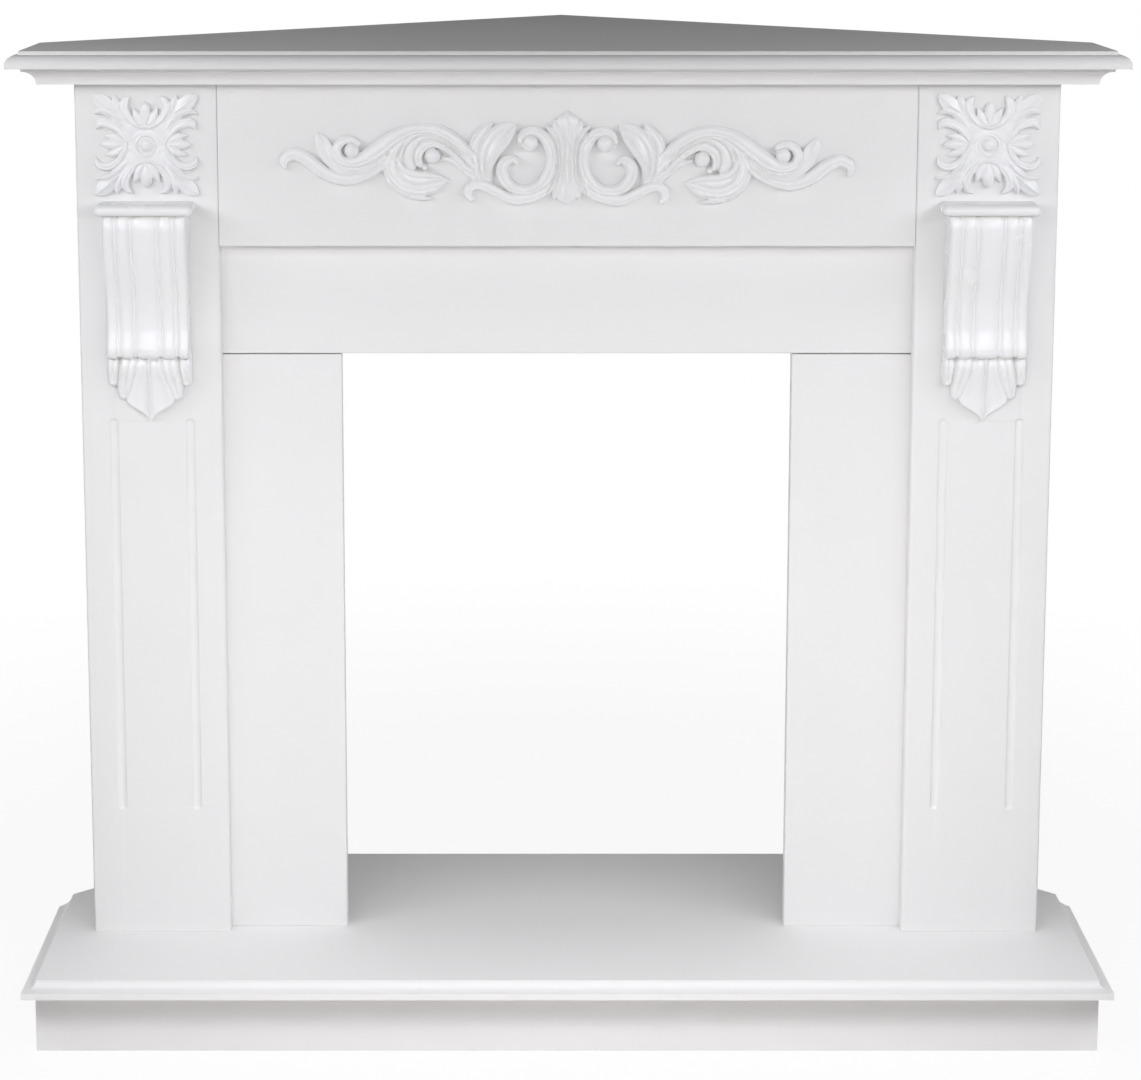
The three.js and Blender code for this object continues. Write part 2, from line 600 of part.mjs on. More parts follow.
/** Bull-nosed bar: a half-round front edge on a flat cap. */
function corbelCap() {
  const half = CORBEL_CAP_WIDE / 2;
  const nose = CORBEL_CAP_HIGH / 2;
  const shape = new THREE.Shape();
  shape.moveTo(0, CORBEL_CAP_HIGH);
  shape.lineTo(nose - CORBEL_CAP_OUT, CORBEL_CAP_HIGH);
  shape.absarc(nose - CORBEL_CAP_OUT, nose, nose, Math.PI / 2, 1.5 * Math.PI, false);
  shape.lineTo(0, 0);
  return bar(shape, CORBEL_CAP_WIDE).translate(-half, 0, 0);
}

// ---------------------------------------------------------------------------
// Brackets and screws
// ---------------------------------------------------------------------------

/** L-shaped steel bracket: legs along +Y and +Z from a bend on the X axis, two holes in each. */
function bracket() {
  const t = BRACKET_THICK;
  const shape = new THREE.Shape();
  shape.moveTo(0, 0);
  shape.lineTo(BRACKET_LEG, 0);
  shape.lineTo(BRACKET_LEG, t);
  shape.lineTo(2 * t, t);
  shape.absarc(2 * t, 2 * t, t, 1.5 * Math.PI, Math.PI, true);
  shape.lineTo(t, BRACKET_LEG);
  shape.lineTo(0, BRACKET_LEG);
  const blank = bar(shape, BRACKET_WIDE).translate(-BRACKET_WIDE / 2, 0, 0);
  const holes = [];
  for (const x of [-SCREW_APART / 2, SCREW_APART / 2]) {
    holes.push(screwHole().translate(x, SCREW_ALONG, 0));
    holes.push(screwHole().rotateX(-Math.PI / 2).translate(x, 0, SCREW_ALONG));
  }
  return cut(blank, holes);
}

const SCREW_SIDES = 6;
const screwProfile = [
  [0, SCREW_HEAD_HIGH], [SCREW_HEAD_R, SCREW_HEAD_HIGH / 2], [SCREW_HEAD_R, GLUE],
  [SCREW_R, GLUE], [SCREW_R, 2 * SCREW_R - SCREW_LONG], [0, -SCREW_LONG],
];

/** Screw whose head stands on z = 0 and whose shank points to -Z. */
function screw() {
  return turned(screwProfile, SCREW_SIDES);
}

/** Hole for that screw, with its clearance all round and at its tip. */
function screwHole() {
  const long = 2 * SCREW_LONG + 2 * GLUE;
  const hole = new THREE.CylinderGeometry(SCREW_R + GLUE, SCREW_R + GLUE, long, SCREW_SIDES);
  return hole.rotateX(Math.PI / 2);
}

/** Bores the holes of the given screws in a board that will stand at a place. */
function drilled(geometry, place, screws) {
  return cut(geometry, screws.map(({ at, turn }) => {
    const local = at.clone().sub(place);
    return screwHole().rotateX(turn).translate(local.x, local.y, local.z);
  }));
}

// ---------------------------------------------------------------------------
// Assembly: everything is placed from the pilasters' face (y = 0) and the floor
// ---------------------------------------------------------------------------

const surround = new THREE.Group();
surround.name = 'corner_fireplace_surround';
surround.position.y = -(WALL_APEX - frontReach) / 2;

const SIDES = [['left', -1], ['right', 1]];
const LOOK_OUT = Math.PI / 2;   // turns a carving's relief to the front
const FACE_BACK = -Math.PI / 2; // turns a screw's head to the back
const FACE_DOWN = Math.PI;      // turns a screw's head to the floor

function place(name, geometry, material, x, y, z, turnX = 0) {
  const mesh = new THREE.Mesh(geometry, material);
  mesh.name = name;
  mesh.position.set(x, y, z);
  mesh.rotation.x = turnX;
  surround.add(mesh);
}

// Brackets, each with two screws in the upright panel and two in the level board
const brackets = [];
for (const [label, side] of SIDES) {
  const top = { name: `bracket_top_${label}`, x: side * BRACKET_TOP_AT, z: frameTop, up: -1 };
  const foot = { name: `bracket_foot_${label}`, x: side * bracketFootAt, z: frameLow, up: 1 };
  brackets.push({ ...top, side, turn: FACE_BACK, level: FACE_DOWN });
  brackets.push({ ...foot, side, turn: 0, level: 0 });
}
for (const one of brackets) {
  const seat = panelBack + GLUE;
  const x = [one.x - SCREW_APART / 2, one.x + SCREW_APART / 2];
  one.panelScrews = x.map((at) => ({
    at: new THREE.Vector3(at, seat + BRACKET_THICK, one.z + one.up * SCREW_ALONG), turn: FACE_BACK,
  }));
  one.levelScrews = x.map((at) => ({
    at: new THREE.Vector3(at, seat + SCREW_ALONG, one.z + one.up * BRACKET_THICK), turn: one.level,
  }));
  place(one.name, bracket(), zinc, one.x, seat, one.z, one.turn);
  [...one.panelScrews, ...one.levelScrews].forEach(({ at, turn }, i) => {
    place(`${one.name.replace('bracket', 'screw')}_${i + 1}`, screw(), zinc, at.x, at.y, at.z, turn);
  });
}
const topBrackets = brackets.filter((one) => one.up < 0);
const footBrackets = brackets.filter((one) => one.up > 0);

// Shelf, cornice and hearth
place('mantel_shelf', mantelShelf(), lacquer, 0, 0, shelfLow);
place('cornice_board', drilled(
  corniceBoard(),
  new THREE.Vector3(0, 0, corniceLow),
  topBrackets.flatMap((one) => one.levelScrews),
), lacquer, 0, 0, corniceLow);
place('hearth_board', drilled(
  hearthBoard(),
  new THREE.Vector3(0, 0, HEARTH_TOP - BOARD),
  footBrackets.flatMap((one) => one.levelScrews),
), lacquer, 0, 0, HEARTH_TOP - BOARD);

// Front boards
const frieze = dropEdgeBoard(pilasterInner - GLUE, frameTop - friezeLow, FRIEZE_ROUND);
place('frieze_board', frieze, lacquer, 0, 0, friezeLow);
place('header_panel', drilled(
  dropEdgeBoard(panelEdge, frameTop - openingHigh, PANEL_ROUND),
  new THREE.Vector3(0, panelFace, openingHigh),
  topBrackets.flatMap((one) => one.panelScrews),
), lacquer, 0, panelFace, openingHigh);

const sidePanelHigh = openingHigh - PANEL_LINE - frameLow;
for (const [label, side] of SIDES) {
  const [x0, x1] = side < 0 ? [-panelEdge, -OPENING_HALF] : [OPENING_HALF, panelEdge];
  const [leftR, rightR] = side < 0 ? [0, PANEL_ROUND] : [PANEL_ROUND, 0];
  const foot = footBrackets.filter((one) => one.side === side);
  place(`side_panel_${label}`, drilled(
    roundedBoard(x0, x1, 0, BOARD, sidePanelHigh, leftR, rightR),
    new THREE.Vector3(0, panelFace, frameLow),
    foot.flatMap((one) => one.panelScrews),
  ), lacquer, 0, panelFace, frameLow);
  place(`pilaster_${label}`, pilaster(), lacquer, side * pilasterMid, 0, frameLow);
  const sideBoard = prism(shapeOf(sideBoardOutline(side)), frameTop - frameLow);
  place(`side_board_${label}`, sideBoard, lacquer, 0, 0, frameLow);
}

// Carvings
const scroll = carving({ middle: scrollMiddle, sides: scrollSides, bosses: scrollBosses, work: SCROLL_WORK });
scroll.rotateZ(THREE.MathUtils.degToRad(SCROLL_TILT));
place('frieze_scroll', scroll, casting, 0, -GLUE, scrollZ, LOOK_OUT);
for (const [label, side] of SIDES) {
  const x = side * pilasterMid;
  const drawing = { middle: rosetteMiddle, sides: rosetteSides, bosses: rosetteBosses };
  const rosette = carving({ ...drawing, work: FINE_WORK });
  place(`rosette_${label}`, rosette, casting, x, -GLUE, rosetteZ, LOOK_OUT);
  place(`corbel_${label}`, corbel(), casting, x, -GLUE, ribsLow, LOOK_OUT);
  place(`corbel_cap_${label}`, corbelCap(), casting, x, -GLUE, capLow);
}

// Battens and wall rails behind the front
for (const [label, side] of SIDES) {
  const x = side < 0 ? GLUE - sideInner : sideInner - GLUE - BATTEN;
  const batten = block(BATTEN, BATTEN, frameTop - frameLow);
  place(`corner_batten_${label}`, batten, timber, x, panelBack + GLUE, frameLow);
  const rail = prism(shapeOf(wallRailOutline(side)), WALL_RAIL_HIGH);
  place(`wall_rail_${label}`, rail, rawBoard, 0, 0, frameTop - WALL_RAIL_HIGH);
}

// Plinth under the hearth
const plinthInside = plinthHalf - BOARD - GLUE;
const plinthInsideFront = BOARD + GLUE - plinthFront;
place('plinth_front', block(2 * plinthHalf, BOARD, plinthTop), lacquer, -plinthHalf, -plinthFront, 0);
place('plinth_rear', prism(shapeOf(plinthRearOutline()), plinthTop), rawBoard, 0, 0, 0);
for (const [label, side] of SIDES) {
  const bearerX = side * BEARER_AT - BOARD / 2;
  const bearerLong = plinthBack - BOARD - GLUE - plinthInsideFront;
  const corner = [
    [plinthInside, plinthInsideFront], [plinthInside, plinthInsideFront + BLOCK_LEG],
    [plinthInside - BLOCK_LEG, plinthInsideFront],
  ];
  const bearer = block(BOARD, bearerLong, plinthTop);
  const cornerBlock = prism(shapeOf(mirrorOutline(corner, side)), BLOCK_LEG);
  place(`plinth_side_${label}`, prism(shapeOf(plinthSideOutline(side)), plinthTop), lacquer, 0, 0, 0);
  place(`plinth_slant_${label}`, prism(shapeOf(plinthSlantOutline(side)), plinthTop), rawBoard, 0, 0, 0);
  place(`plinth_bearer_${label}`, bearer, rawBoard, bearerX, plinthInsideFront, 0);
  place(`plinth_block_${label}`, cornerBlock, timber, 0, 0, plinthTop - BLOCK_LEG);
}

export default surround;
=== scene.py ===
"""Corner fireplace surround: its visible pieces, finishes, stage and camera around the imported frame."""

import copy
import math

import bpy
import numpy as np
from bpy.props import FloatProperty, FloatVectorProperty, PointerProperty
from bpy.types import NodeSocket, Operator, Panel, PropertyGroup, Scene
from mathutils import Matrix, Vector


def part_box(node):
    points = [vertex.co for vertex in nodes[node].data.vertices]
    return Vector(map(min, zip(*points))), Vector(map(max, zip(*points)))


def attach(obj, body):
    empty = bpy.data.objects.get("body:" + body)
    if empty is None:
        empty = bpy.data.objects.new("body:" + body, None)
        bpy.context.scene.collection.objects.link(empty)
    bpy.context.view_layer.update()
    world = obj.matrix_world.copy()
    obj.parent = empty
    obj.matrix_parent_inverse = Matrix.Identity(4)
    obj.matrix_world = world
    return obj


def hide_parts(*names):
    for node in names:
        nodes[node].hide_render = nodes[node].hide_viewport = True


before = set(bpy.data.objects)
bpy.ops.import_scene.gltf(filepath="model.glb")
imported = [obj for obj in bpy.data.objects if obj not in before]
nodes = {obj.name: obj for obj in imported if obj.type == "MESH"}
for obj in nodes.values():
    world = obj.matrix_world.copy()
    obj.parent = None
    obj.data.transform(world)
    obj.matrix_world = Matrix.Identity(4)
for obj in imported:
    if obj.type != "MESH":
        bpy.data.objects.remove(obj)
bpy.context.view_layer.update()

bl_info = {
    "name": "Corner fireplace surround",
    "version": (1, 0, 0),
    "blender": (4, 5, 0),
    "location": "3D View > Sidebar > Surround",
    "description": "Builds the carvings, boards and finishes of a corner fireplace surround",
    "category": "Object",
}

MM = 0.001
SIDES = (("left", -1), ("right", 1))
FACE_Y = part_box("frieze_board")[0].y
SHARP = math.radians(32)  # edges that turn by more stay sharp or get a bevel
ARC_STEPS = 12  # facets of a moulding, or of a cap's nose
CORNER_STEPS = 5  # facets of a pilaster's rounded edge
FLUTE_STEPS = 12  # facets across a flute
QUARTER = np.linspace(0.0, math.pi / 2, 9)  # angles of a rounded end, on a flute or a cap
RAW_BEVEL, PINE_BEVEL, STEEL_BEVEL = 0.4 * MM, 0.8 * MM, 0.3 * MM


# Sizes and colours that a user would change

def length(name, description, default):
    """A length, with its default in millimetres."""
    default *= MM
    return FloatProperty(name=name, description=description, default=default, unit="LENGTH", min=0.0)


def share(name, description, default):
    """A share from 0 to 1."""
    return FloatProperty(
        name=name, description=description, default=default, subtype="FACTOR", min=0.0, max=1.0,
    )


def power(name, description, default):
    """The power of a lamp in watts."""
    return FloatProperty(name=name, description=description, default=default, unit="POWER", min=0.0)


def tint(name, description, default):
    """A colour."""
    return FloatVectorProperty(
        name=name, description=description, default=default, size=3, subtype="COLOR", min=0.0, max=1.0,
    )


class SurroundCarving(PropertyGroup):
    """Sizes of the carved work."""

    cell: length("Cell", "Width of one cell of a carved surface", 0.8)
    soften: length("Soften", "How far the carved edges are rounded over", 0.4)
    edge: share("Edge", "Height of a band's edge, as a share of its relief", 0.34)
    scroll_z: length("Scroll height", "Middle of the frieze scroll above the floor", 892.0)
    scroll_tilt: FloatProperty(
        name="Scroll tilt", description="Turn of the frieze scroll, right end down when negative",
        default=math.radians(-0.7), subtype="ANGLE", unit="ROTATION",
    )
    rosette_z: length("Rosette height", "Middle of each rosette above the floor", 905.5)


class SurroundBoards(PropertyGroup):
    """Sizes of the boards and their mouldings."""

    bevel: length("Bevel", "Softened edge of the lacquered boards", 0.5)
    ovolo_fillet: length("Shelf fillet", "Square edge above the shelf's ovolo", 3.5)
    ovolo_quirk: length("Shelf quirk", "Step between that edge and the ovolo", 1.5)
    ovolo_nose: length("Shelf nose", "Upright band below the ovolo", 3.0)
    shelf_out: length("Shelf moulding", "How far the shelf's moulding stands out", 12.0)
    cornice_out: length("Cornice moulding", "How far the cove stands out", 13.0)
    cornice_fillet: length("Cornice fillet", "Upright band above the cove", 3.0)
    hearth_out: length("Hearth moulding", "How far the hearth's edge stands out", 13.0)
    hearth_cove: length("Hearth cove", "Depth of the cove on the hearth's edge", 8.0)
    hearth_quirk: length("Hearth quirk", "Step at the top of that cove", 1.2)
    flute_at: length("Flute place", "Each flute, off the middle of its pilaster", 38.6)
    flute_wide: length("Flute width", "Width of a flute at the face", 9.5)
    flute_deep: length("Flute depth", "Depth of a flute", 2.5)
    flute_low: length("Flute foot", "Lower end of the flutes above the floor", 215.3)
    flute_high: length("Flute head", "Upper end of the flutes above the floor", 627.0)
    pilaster_round: length("Pilaster edge", "Radius of the pilasters' upright edges", 2.5)


class SurroundFinish(PropertyGroup):
    """Colours and gloss of the finishes."""

    lacquer: tint("Lacquer", "Colour of the lacquered boards", (0.858, 0.851, 0.848))
    lacquer_rough: share("Lacquer roughness", "Roughness of the lacquered boards", 0.55)
    casting: tint("Casting", "Colour of the carved castings", (0.872, 0.875, 0.885))
    # Painted shade of the castings: the darker, warmer colour their recesses take
    casting_shade: tint("Casting recess", "Colour in the recesses of the castings", (0.79, 0.775, 0.75))
    casting_rough: share("Casting roughness", "Roughness of the castings", 0.26)
    raw: tint("Raw board", "Colour of the bare wood board", (0.42, 0.29, 0.17))
    pine: tint("Pine", "Colour of the pine battens", (0.58, 0.40, 0.21))
    zinc: tint("Zinc", "Colour of the steel brackets", (0.60, 0.62, 0.64))


class SurroundStage(PropertyGroup):
    """Colour of the floor, and the light."""

    floor: tint("Floor", "Colour of the floor", (0.88, 0.855, 0.835))
    key: power("Key lamps", "Power of each side lamp", 5.5)
    high: power("High lamp", "Power of the lamp high in front", 6.0)
    hearth: power("Hearth lamp", "Power of the lamp above the hearth", 9.5)
    low: power("Low lamp", "Power of the lamp low in front", 0.8)
    rear: power("Rear lamps", "Power of each rear lamp", 5.0)
    light: tint("Light", "Colour of all lamps", (0.972, 0.975, 1.0))
    ambient: share("Ambient", "Strength of the even light from all sides", 0.015)


# Shader building

EVEN = (1.0, 1.0, 1.0)  # no stretch along any axis
MIX_FIRST, MIX_SECOND, MIX_RESULT = 6, 7, 2  # a Mix node's colour sockets
CLOUDING = 0.08  # span of the roughness of a painted surface


class Amount:
    """A number that varies over a surface: arithmetic on it adds Math nodes."""

    def __init__(self, finish, socket):
        self.finish = finish
        self.socket = socket

    def combine(self, operation, other):
        """The result of a Math node on this and another number or amount."""
        return self.finish.amount("ShaderNodeMath", 0, {"operation": operation}, {0: self, 1: other})

    def __add__(self, other):
        return self.combine("ADD", other)

    def __mul__(self, other):
        return self.combine("MULTIPLY", other)

    __radd__, __rmul__ = __add__, __mul__


class Finish:
    """The node tree of one material, or of the world."""

    def __init__(self, owner):
        owner.use_nodes = True
        self.owner = owner
        self.tree = owner.node_tree
        self.tree.nodes.clear()

    def node(self, kind, settings=None, sockets=None):
        """Adds a node: its settings first, then the values or links of its sockets."""
        made = self.tree.nodes.new(kind)
        for key, value in (settings or {}).items():
            setattr(made, key, value)
        for key, value in (sockets or {}).items():
            if isinstance(value, Amount):
                value = value.socket
            if isinstance(value, NodeSocket):
                self.tree.links.new(value, made.inputs[key])
            else:
                made.inputs[key].default_value = value
        return made

    def amount(self, kind, output, settings=None, sockets=None):
        """One output of a new node, as a number that varies."""
        return Amount(self, self.node(kind, settings, sockets).outputs[output])

    def place(self, stretch=EVEN):
        """Object coordinates in metres, stretched along the axes."""
        at = self.node("ShaderNodeTexCoord").outputs["Object"]
        made = self.node("ShaderNodeVectorMath", {"operation": "MULTIPLY"}, {0: at, 1: stretch})
        return made.outputs[0]

    def noise(self, scale, detail, rough=0.5, stretch=EVEN):
        """Noise from 0 to 1."""
        sockets = {"Vector": self.place(stretch), "Scale": scale, "Detail": detail, "Roughness": rough}
        return self.amount("ShaderNodeTexNoise", "Fac", None, sockets)

    def blend(self, factor, first, second):
        """A colour between two others."""
        ends = [c if isinstance(c, NodeSocket) else (*c, 1.0) for c in (first, second)]
        sockets = {"Factor": factor, MIX_FIRST: ends[0], MIX_SECOND: ends[1]}
        return self.node("ShaderNodeMix", {"data_type": "RGBA"}, sockets).outputs[MIX_RESULT]

    def mottled(self, factor, colour, low, high):
        """A colour that wanders between two shades of itself."""
        return self.blend(factor, shade(colour, low), shade(colour, high))

    def bump(self, height, distance, strength):
        """A normal that follows a height; the distance is its full span in metres."""
        sockets = {"Height": height, "Distance": distance, "Strength": strength}
        return self.node("ShaderNodeBump", None, sockets).outputs[0]

    def close(self, sockets):
        """Ends the tree in a Principled surface."""
        surface = self.node("ShaderNodeBsdfPrincipled", None, sockets)
        self.node("ShaderNodeOutputMaterial", None, {"Surface": surface.outputs[0]})


def shade(colour, factor):
    """A colour made darker or lighter."""
    return tuple(min(1.0, c * factor) for c in colour)


def clouded(cloud, middle):
    """Roughness that wanders about its middle value."""
    return cloud * CLOUDING + (middle - CLOUDING / 2)


def satin_lacquer(finish, look):
    """Sprayed white lacquer: even, with a faint horizontal grain and a fine spray texture."""
    grain = finish.noise(90.0, 4.0, 0.6, (0.06, 1.0, 1.0))
    cloud = finish.noise(5.0, 2.0)
    spray = finish.noise(900.0, 1.0)
    worn = finish.mottled(cloud, look.lacquer, 0.985, 1.012)
    finish.close({
        "Base Color": finish.blend(grain * 0.35, worn, shade(look.lacquer, 0.975)),
        "Roughness": clouded(cloud, look.lacquer_rough),
        "Normal": finish.bump(grain * 0.7 + spray * 0.3, 0.05 * MM, 0.5),
        "IOR": 1.2,
    })


def casting_white(finish, look):
    """Glossy painted casting with the faint waviness of a poured surface; painted shade makes its
    recesses darker and warm.
    """
    # Painted shade: ambient occlusion turns the recesses to the darker, warmer recess colour
    open_air = finish.amount("ShaderNodeAmbientOcclusion", "AO", {"samples": 8}, {"Distance": 7 * MM})
    cloud = finish.noise(24.0, 2.0)
    recess = finish.mottled(cloud, look.casting_shade, 1.0, 1.06)
    finish.close({
        "Base Color": finish.blend(open_air, recess, look.casting),
        "Roughness": clouded(cloud, look.casting_rough),
        "Normal": finish.bump(finish.noise(300.0, 2.0), 0.08 * MM, 0.4),
    })


def raw_board(finish, look):
    """Bare pressed board: brown with fine pale and dark fibres."""
    fibre = finish.noise(700.0, 5.0, 0.7)
    base = finish.mottled(finish.noise(12.0, 3.0), look.raw, 0.9, 1.1)
    finish.close({
        "Base Color": finish.blend(fibre, shade(look.raw, 0.7), base),
        "Roughness": fibre * 0.2 + 0.7,
        "Normal": finish.bump(fibre, 0.3 * MM, 0.6),
        "Specular IOR Level": 0.2,
    })


def pine(finish, look):
    """Planed pine with its growth lines along the batten."""
    waver = finish.noise(30.0, 2.0, 0.5, (1.0, 1.0, 0.05))
    rings = finish.amount(
        "ShaderNodeTexWave", "Fac", {"wave_type": "RINGS", "rings_direction": "Z"},
        {"Vector": finish.place((1.0, 1.0, 0.04)), "Scale": 60.0, "Distortion": 3.0, "Detail": 2.0},
    )
    base = finish.mottled(waver, look.pine, 0.9, 1.1)
    finish.close({
        "Base Color": finish.blend(rings * 0.6, base, shade(look.pine, 0.68)),
        "Roughness": rings * 0.15 + 0.6,
        "Normal": finish.bump(rings, 0.1 * MM, 0.5),
        "Specular IOR Level": 0.25,
    })


def zinc_steel(finish, look):
    """Zinc-plated steel with the faint patches of its plating."""
    patch = finish.amount(
        "ShaderNodeTexVoronoi", "Distance", None,
        {"Vector": finish.place(), "Scale": 260.0, "Randomness": 1.0},
    )
    scuff = finish.noise(500.0, 3.0, 0.6)
    finish.close({
        "Base Color": finish.mottled(patch, look.zinc, 1.12, 0.8),
        "Metallic": 0.95,
        "Roughness": scuff * 0.2 + 0.25,
        "Normal": finish.bump(scuff, 0.05 * MM, 0.4),
    })


MAKERS = {make.__name__: make for make in (satin_lacquer, casting_white, raw_board, pine, zinc_steel)}


def material(slot):
    """The finish of one of the record's slots, made when it is first asked for.

    The frame brings plain materials under the slots' own names, so a finish has a name of its own.
    """
    name = f"{slot}_finish"
    if name not in bpy.data.materials:
        MAKERS[slot](Finish(bpy.data.materials.new(name)), bpy.context.scene.surround_finish)
    return bpy.data.materials[name]


# Mesh building

def put(name, data):
    """A new object in the scene."""
    made = bpy.data.objects.new(name, data)
    bpy.context.scene.collection.objects.link(made)
    return made


def piece(name, points, faces, slot, node):
    """A closed mesh in the row frame, which replaces a node of the frame."""
    mesh = bpy.data.meshes.new(name)
    mesh.from_pydata([tuple(p) for p in points], [], faces)
    mesh.validate()
    mesh.shade_smooth()
    mesh.set_sharp_from_angle(angle=SHARP)
    mesh.materials.append(material(slot))
    made = put(name, mesh)
    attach(made, "root")
    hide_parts(node)


def carving(name, node, points, faces, z, x=None):
    """A casting from points (u, v, relief) in millimetres, stood against the back of its node's box."""
    low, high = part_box(node)
    x = (low.x + high.x) / 2 if x is None else x
    placed = [(x + u * MM, high.y - h * MM, z + v * MM) for u, v, h in points]
    piece(name, placed, faces, "casting_white", node)


def loft(rings):
    """Points and faces of a closed body through rings of equal point count."""
    count = len(rings[0])
    points = [p for ring in rings for p in ring]
    faces = []
    for start in range(0, len(points) - count, count):
        for i in range(count):
            j = (i + 1) % count
            faces.append((start + i, start + j, start + count + j, start + count + i))
    faces.append(tuple(reversed(range(count))))
    faces.append(tuple(range(len(points) - count, len(points))))
    return points, faces


def arc(mid, radii, start, end, steps=ARC_STEPS):
    """Points (a, b) of an elliptical arc, its angles in degrees."""
    angles = np.radians(np.linspace(start, end, steps + 1))
    return [(mid[0] + radii[0] * math.cos(a), mid[1] + radii[1] * math.sin(a)) for a in angles]


def room_corner(name):
    """Room corner that a board's slanted edges point at, from its widest rear corner."""
    corners = [v.co for v in nodes[name].data.vertices]
    side = max(c.x for c in corners) - 0.5 * MM
    return max(c.y + c.x for c in corners if c.x > side)


def thickness(name):
    """Height of a level board."""
    low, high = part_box(name)
    return high.z - low.z


def moulded_board(name, out, profile, straight_rear=False):
    """Board in its CAD node's box, with 45 degree rear edges that point at the room's corner, and a
    moulding given as (out, height) from bottom to top."""
    low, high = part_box(name)
    apex = room_corner(name) if straight_rear else high.y
    rear = [(apex - high.y, high.y), (high.y - apex, high.y)] if straight_rear else [(0.0, apex)]
    rings = []
    for beyond, z in profile:
        half, front = high.x - out + beyond, low.y + out - beyond
        plan = [(-half, front), (half, front), (half, apex - half), *rear, (-half, apex - half)]
        rings.append([(x, y, low.z + z) for x, y in plan])
    points, faces = loft(rings)
    piece(name.replace("_board", "") + "_moulded", points, faces, "satin_lacquer", name)


# Carving: bands painted over each other on a fine height field. Its own frame is in millimetres:
# u to the right, v up and relief to the front.

FINER = 2  # painted cells across a cell of the finished surface
LINE_STEP = 0.5  # length between the samples of a band's line
MARGIN = 1.0  # how far beyond its half width a band is painted
EMPTY = 4.0  # empty border of a field
LEAF_MARGIN = 6.0  # the same beside and below the leaf
BOSS_LENGTH = 0.1  # a boss is a round band of this length
BESIDE = 0.4  # how far along a band a sample's own width and height hold
THINNEST = 0.5  # least half width of a band
OUTSIDE = 9.0  # stands for the distance to what no band has reached
RIM = 1.9  # cells beyond an outline that get a height too
TIP_LEVEL = 0.45  # share of a band's relief where it tapers to nothing
ROOT_LEVEL = 0.4  # share of it where it springs from another band
BORDER = 0.1  # least share of a cell between a border point and a corner


def crown(x, steep=0.999):
    """Height of a round back at x, from -1 to 1 across it; its ends stop short of upright."""
    return np.sqrt(1.0 - steep * x * x)


def between(borders, s):
    """Place of s between the two borders beside it, from -1 to 1."""
    k = np.clip(np.searchsorted(borders, s) - 1, 0, len(borders) - 2)
    return 2.0 * (s - borders[k]) / (borders[k + 1] - borders[k]) - 1.0


def rolls(depth, *inner):
    """Rolls side by side across a band, between -1, right of its line, and 1, left of it."""
    borders = np.array((-1.0, *inner, 1.0))
    return lambda s: (1.0 - depth) * crown(s) + depth * crown(between(borders, s))


def hollows(depth, *inner):
    """Hollow flutes between sharp crests, whose places lie between -1 and 1 across a band."""
    crests = np.array((-1.0, *inner, 1.0))
    return lambda s: crown(s, 0.95) - depth * (1.0 - between(crests, s) ** 2)


SECTIONS = {
    "round": rolls(1.0),
    "main": rolls(0.35, -0.45),
    "inner": rolls(0.45, -0.3),
    "outer": rolls(0.45, 0.3),
    "pair": rolls(0.4, 0.0),
    "keel": hollows(0.3, 0.0),
    "leaf": hollows(0.24, -0.45, 0.1, 0.55),
}


def smooth_line(points):
    """Centripetal spline through [u, v, half width], sampled about every LINE_STEP."""
    p = np.array(points, float)
    p = np.vstack([2 * p[0] - p[1], p, 2 * p[-1] - p[-2]])
    samples = []
    for i in range(1, len(p) - 2):
        a, b, c, d = p[i - 1:i + 3]
        gaps = [max(math.hypot(*(n - m)[:2]) ** 0.5, 1e-3) for m, n in ((a, b), (b, c), (c, d))]
        t0, t1 = 0.0, gaps[0]
        t2, t3 = t1 + gaps[1], t1 + gaps[1] + gaps[2]
        count = max(2, int(math.hypot(*(c - b)[:2]) / LINE_STEP))
        t = np.linspace(t1, t2, count, endpoint=False)[:, None]

        def mix(start, end, first, second):
            return (end - t) / (end - start) * first + (t - start) / (end - start) * second

        ab, bc, cd = mix(t0, t1, a, b), mix(t1, t2, b, c), mix(t2, t3, c, d)
        samples.append(mix(t1, t2, mix(t0, t2, ab, bc), mix(t1, t3, bc, cd)))
    samples.append(p[-2][None])
    return np.vstack(samples)


def span(axis, low, high):
    """The part of a rising axis between two values."""
    return slice(*np.searchsorted(axis, (low, high)))


